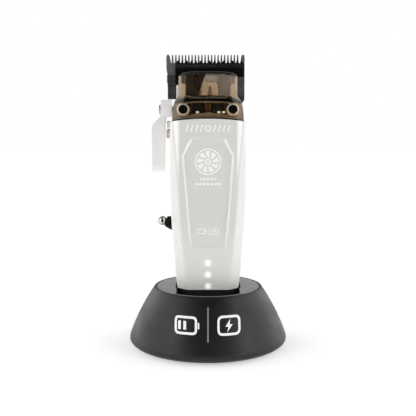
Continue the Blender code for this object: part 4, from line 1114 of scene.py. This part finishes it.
def build_inside():
    """What shows through the cover."""
    refine("cam_housing", "plastic", "clipper", 0.35)
    refine("motor_bracket", "plastic", "clipper", 0.3)
    refine("blade_carriage", "slate", "blade_carriage", 0.25)
    build_follower()
    refine("collar_gasket", "rubber", "clipper", 0.15)
    hub = [(0, 147.6), (2.9, 147.6), (3.4, 147.1), (3.4, 143.2), (3.1, 142.9), (3.1, 141.9), (3.4, 141.6)]
    hub += [(3.4, 136.5), (2.9, 136.0), (0, 136.0)]
    cam = turned("eccentric_cam_fine", hub, 96)
    join(cam, rod("pin", 1.0, (1.05, 0.68, 146.0), UP, 5.2, 32))
    cam.data.transform(Matrix.Translation((0, -4.5 * MM, 0)))
    dress(cam, "bronze", "rotor", "eccentric_cam")
    # The tabs take the lights' glowing finish, though they are no lamps: painted light
    for i, x in enumerate((-6.2, 6.4, 9.2)):
        tab = plate(f"wire_tab_{i + 1}", rounded_box((x, 141.5), 1.8, 1.2, 0.2), (-13.4, -12.2))
        dress(soften(tab, 0.12), "light", "clipper")


def build_follower():
    """The follower's foot on the cutter, and the slotted fork on it that the cam's pin drives."""
    foot = plate("follower_foot", [(-5.8, 151.6), (7.7, 151.6), (7.7, 163.9), (-5.8, 163.9)], (1.5, 3.6))
    cut(foot, *[rod("bore", 1.1, (0.95 + side * 4.4, 5, 161.6), FRONT, 6, 32) for side in (-1, 1)])
    dress(soften(foot, 0.25), "slate", "cutter", "cam_follower")
    outline = [(-4.2, 148.2), (-2.9, 148.2), (-2.9, 151.6), (5.0, 151.6), (5.0, 148.2), (6.3, 148.2)]
    outline += [(5.7, 158.7), (5.2, 159.1), (-2.8, 159.1), (-3.3, 158.7)]
    fork = plate("follower_fork", outline, (-7.0, -1.0))
    join(fork, plate("stem", [(-3.0, 152.0), (5.5, 152.0), (5.5, 158.6), (-3.0, 158.6)], (-1.5, 1.3)))
    slot_outline = eased([(-0.4, 150.0), (2.5, 150.0), (1.9, 156.8), (0.5, 156.8)], 0.5)
    cut(fork, plate("slot", slot_outline, (-10, -2.5)))
    dress(soften(fork, 0.25), "tan", "cutter")
    # The two grey guards over the springs, beside the fork; the left one is wholly in painted shade
    left = [(-13.8, 151.6), (-5.5, 151.6), (-5.7, 154.4), (-8.9, 159.6), (-9.4, 164.2), (-13.8, 164.2)]
    left += [(-15.8, 162.2), (-15.8, 158.8), (-13.8, 158.8)]
    right = [(6.15, 151.6), (13.1, 151.6), (13.1, 158.8), (15.8, 158.8), (15.8, 162.2), (13.8, 164.2)]
    right.append((6.15, 164.2))
    for name, outline, finish in (("left", left, "slate_painted_shade"), ("right", right, "slate_light")):
        guard = plate(f"spring_guard_{name}", outline, (-0.85, -0.25))
        dress(soften(guard, 0.15), finish, "clipper")


# ---------------------------------------------------------------- blades


def build_blades():
    """The blades, and the ledge and rest that show beside the nose on the left."""
    refine("fixed_blade", "blade", "clipper", 0.09, 2, 25)
    refine("cutter_blade", "cutter", "cutter", 0.09, 2, 25)
    ledge = box("blade_ledge", (-25.0, 6.28, 159.6), (-19.4, 6.6, 164.4))
    dress(soften(ledge, 0.1), "blade_shade", "clipper")
    rest = box("blade_rest", (-24.4, 5.2, 150.1), (-19.5, 6.6, 158.2))
    dress(soften(rest, 0.3), "blade_shade", "clipper")


# ---------------------------------------------------------------- screws


def screw(node, head, shank, socket_r, spot, direction, finish="steel", body="clipper"):
    """A hexagon-socket screw: head and shank as (radius, length), its head's seat at spot."""
    (head_r, head_h), (shank_r, length) = head, shank
    crown = bend((head_r, head_h - 0.35), (head_r, head_h), (head_r - 0.45, head_h), 4)
    profile = [(0, -length), (shank_r - 0.2, -length), (shank_r, -length + 0.4), (shank_r, 0), (head_r, 0)]
    bolt = turned(node + "_fine", profile + crown + [(0, head_h)], 48)
    hexagon = circle(socket_r * 1.1, steps=6)
    cut(bolt, plate("socket", hexagon, (head_h - 0.55 * head_h, head_h + 1), "Z"))
    dress(aim(bolt, spot, direction), finish, body, node)


def build_screws():
    for (x, z), side in zip(COVER_SCREWS, ("left", "right")):
        screw(f"cover_screw_{side}", (2.65, 2.0), (1.3, 16.4), 1.3, (x, -14.5, z), FRONT, "black_screw")
    for (x, z), side in zip(BLADE_SCREWS, ("left", "right")):
        screw(f"blade_screw_{side}", (2.6, 0.9), (1.3, 5.2), 1.2, (x, 8.0, z), BACK)
    for side, x in (("left", -9.2), ("right", 9.2)):
        screw(f"end_cap_screw_{side}", (2.1, 0.9), (1.0, 8.0), 0.8, (x, 6.0, 23.0), DOWN)
    for i, (x, y) in enumerate(CRADLE_POSTS):
        screw(f"stand_screw_{i + 1}", (2.3, 1.0), (1.2, 9.0), 1.0, (x, y, 2.6), DOWN, body="stand")
    screw("shell_screw", (2.5, 1.0), (1.2, 12.0), 1.1, (0, 16.3, SHELL_SCREW_Z), BACK)
    screw("lever_screw", (2.85, 1.0), (1.3, 14.0), 1.3, (-28.9, *LEVER_PIVOT), LEFT, body="taper_lever")


# ---------------------------------------------------------------- lever and switch


def build_lever():
    """The lever, as its front and side outlines crossed, and the detent knob that it slides past."""
    pivot_y, pivot_z = LEVER_PIVOT
    front_view = [(-27.9, 149.6), (-22.0, 149.6), (-22.0, 139.1), (-25.5, 139.1), (-26.3, 134.0)]
    front_view += [(-26.5, 106.4), (-27.2, 105.4), (-33.4, 105.4), (-34.2, 106.4), (-34.2, 133.0)]
    front_view += [(-33.4, 134.8), (-28.8, 139.6), (-28.6, 141.0), (-28.6, 148.9)]
    lever = plate("taper_lever_fine", eased(front_view, 0.9, 3), (pivot_y - 7, pivot_y + 7))
    side_view = arc(6.05, -40, 220, 60, (pivot_y, pivot_z))
    side_view += [(pivot_y - 4.4, 136.5), (pivot_y - 4.4, 109.6)]
    side_view += arc(4.2, 180, 360, 32, (pivot_y, 109.6))[1:-1]
    side_view += [(pivot_y + 4.4, 109.6), (pivot_y + 4.4, 136.5)]
    combine(lever, [plate("side_view", side_view, (-40, -15), "X")], "INTERSECT")
    cut(lever, rod("bore", 1.6, (-15, pivot_y, pivot_z), LEFT, 20))
    dress(soften(lever, 0.7, 4, 40), "lever", "taper_lever", "taper_lever")

    knob = [(0, 3.0), (1.9, 3.0), (2.1, 2.85)] + bend((2.1, 2.9), (2.9, 2.9), (2.9, 2.1), 4)
    knob += [(2.9, 0.7), (2.7, 0.5), (1.5, 0.5), (1.5, -3.2), (0, -3.2)]
    dress(aim(turned("detent_knob_fine", knob, 64), KNOB_AT, LEFT), "knob", "clipper", "detent_knob")


def build_switch():
    """A rubber skirt that narrows from the wall to the lever's ball, and the chrome lever itself."""
    pivot, tip = Vector(SWITCH_AT), Vector(TOGGLE_TIP)
    stem = (tip - pivot).length
    profile = [(0, -1.4)] + arc(1.6, -60, 60, 8, (0, 0))[1:] + [(1.1, 2.0), (1.1, stem - BALL_R + 0.2)]
    profile += arc(BALL_R, -64, 90, 24, (0, stem))[:-1] + [(0, stem + BALL_R)]
    lever = turned("toggle_lever_fine", profile, 64)
    dress(aim(lever, SWITCH_AT, tip - pivot), "chrome", "toggle", "toggle_lever")

    # The skirt's section, as (reach from the wall, radius, height); it reaches farther below the lever
    outside = [(0.0, 4.2, 74.0), (0.3, 4.4, 73.95), (0.8, 4.3, 74.0), (1.8, 3.95, 74.2)]
    outside += [(2.8, 3.55, 74.55), (3.5, 3.25, 74.8), (3.9, 3.05, 74.95)]
    lip = [(4.15, 2.85, 75.0), (4.2, 2.6, 75.05), (4.0, 2.4, 75.05)]
    inside = [(3.2, 2.2, 75.0), (1.6, 1.85, 74.9), (0.0, 1.8, 74.5)]
    turns = [math.tau * j / 48 for j in range(48)]
    rings = []
    for reach, radius, z in outside + lip + inside:
        rings.append([(BOOT_WALL_X - reach * (1 - BOOT_LEAN * math.sin(a)), pivot.y + radius * math.cos(a),
                       z + radius * math.sin(a)) for a in turns])
    boot = loft("switch_boot_fine", rings, wrap=True, ends="joined", angle=50)
    made, slot = FINISHES["rubber"]
    boot.data.materials.append(made.material)
    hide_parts("switch_boot")
    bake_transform(boot)


# ---------------------------------------------------------------- floor, light and camera


def build_floor():
    bm = bmesh.new()
    bmesh.ops.create_grid(bm, x_segments=1, y_segments=1, size=6.0)
    floor = link("floor", bm)
    made = Finish("studio_floor", (0.95, 0.95, 0.95), 0.8, Emission_Strength=FLOOR_GLOW,
                  Emission_Color=(1, 1, 1, 1))
    floor.data.materials.append(made.mottle(400.0, 0.01).material)


def build_world():
    """A white studio: bright at both sides and above, dimmer towards the camera."""
    world = bpy.data.worlds.new("studio")
    bpy.context.scene.world = world
    world.use_nodes = True
    world.node_tree.nodes.clear()
    made = Graph(world.node_tree)
    x, y, z = made.split(made.node("ShaderNodeTexCoord").outputs["Generated"])
    sides = made.ramp(made.absolute(x), 0.0, SIDE_LIGHT, 0.38, 0.75)
    behind = made.ramp(y, 0.0, BACK_LIGHT, 0.0, 0.7)
    level = made.plus(made.plus(sides, behind), BASE_LIGHT)
    level = made.times(level, made.ramp(z, 1.0, ZENITH_SHARE, 0.55, 0.9))
    glow = made.node("ShaderNodeBackground")
    made.wire(level, glow.inputs["Strength"])
    white = made.node("ShaderNodeBackground")
    white.inputs["Color"].default_value = (1, 1, 1, 1)
    mix = made.node("ShaderNodeMixShader")
    made.wire(made.node("ShaderNodeLightPath").outputs["Is Camera Ray"], mix.inputs["Fac"])
    made.wire(glow.outputs[0], mix.inputs[1])
    made.wire(white.outputs[0], mix.inputs[2])
    made.wire(mix.outputs[0], made.node("ShaderNodeOutputWorld").inputs["Surface"])


def build_lights():
    """A softbox on either side of the camera."""
    for name, side in (("key_left", -1), ("key_right", 1)):
        light = bpy.data.lights.new(name, "AREA")
        light.shape = "RECTANGLE"
        light.size, light.size_y = KEY_SIZE
        light.energy = KEY_POWER
        obj = bpy.data.objects.new(name, light)
        bpy.context.scene.collection.objects.link(obj)
        obj.location = (side * KEY_AT[0], *KEY_AT[1:])
        obj.rotation_euler = (Vector(KEY_TARGET) - obj.location).to_track_quat("-Z", "Y").to_euler()


def build_camera():
    data = bpy.data.cameras.new("camera")
    data.sensor_width = 36.0
    data.lens = CAMERA_LENS
    data.clip_start = 0.01
    camera = bpy.data.objects.new("camera", data)
    bpy.context.scene.collection.objects.link(camera)
    camera.location = CAMERA_AT
    camera.rotation_euler = (math.radians(90 - CAMERA_TILT), 0, 0)
    bpy.context.scene.camera = camera


finish_plain_nodes()
build_stand()
build_stand_marks()
build_front_shell()
build_rear_shell()
build_body_marks()
refine("end_cap", "plastic", "clipper", 0.35, 3)
build_cover()
build_inside()
build_blades()
build_screws()
build_lever()
build_switch()
build_floor()
build_world()
build_lights()
build_camera()
bpy.context.scene.view_settings.view_transform = "Standard"
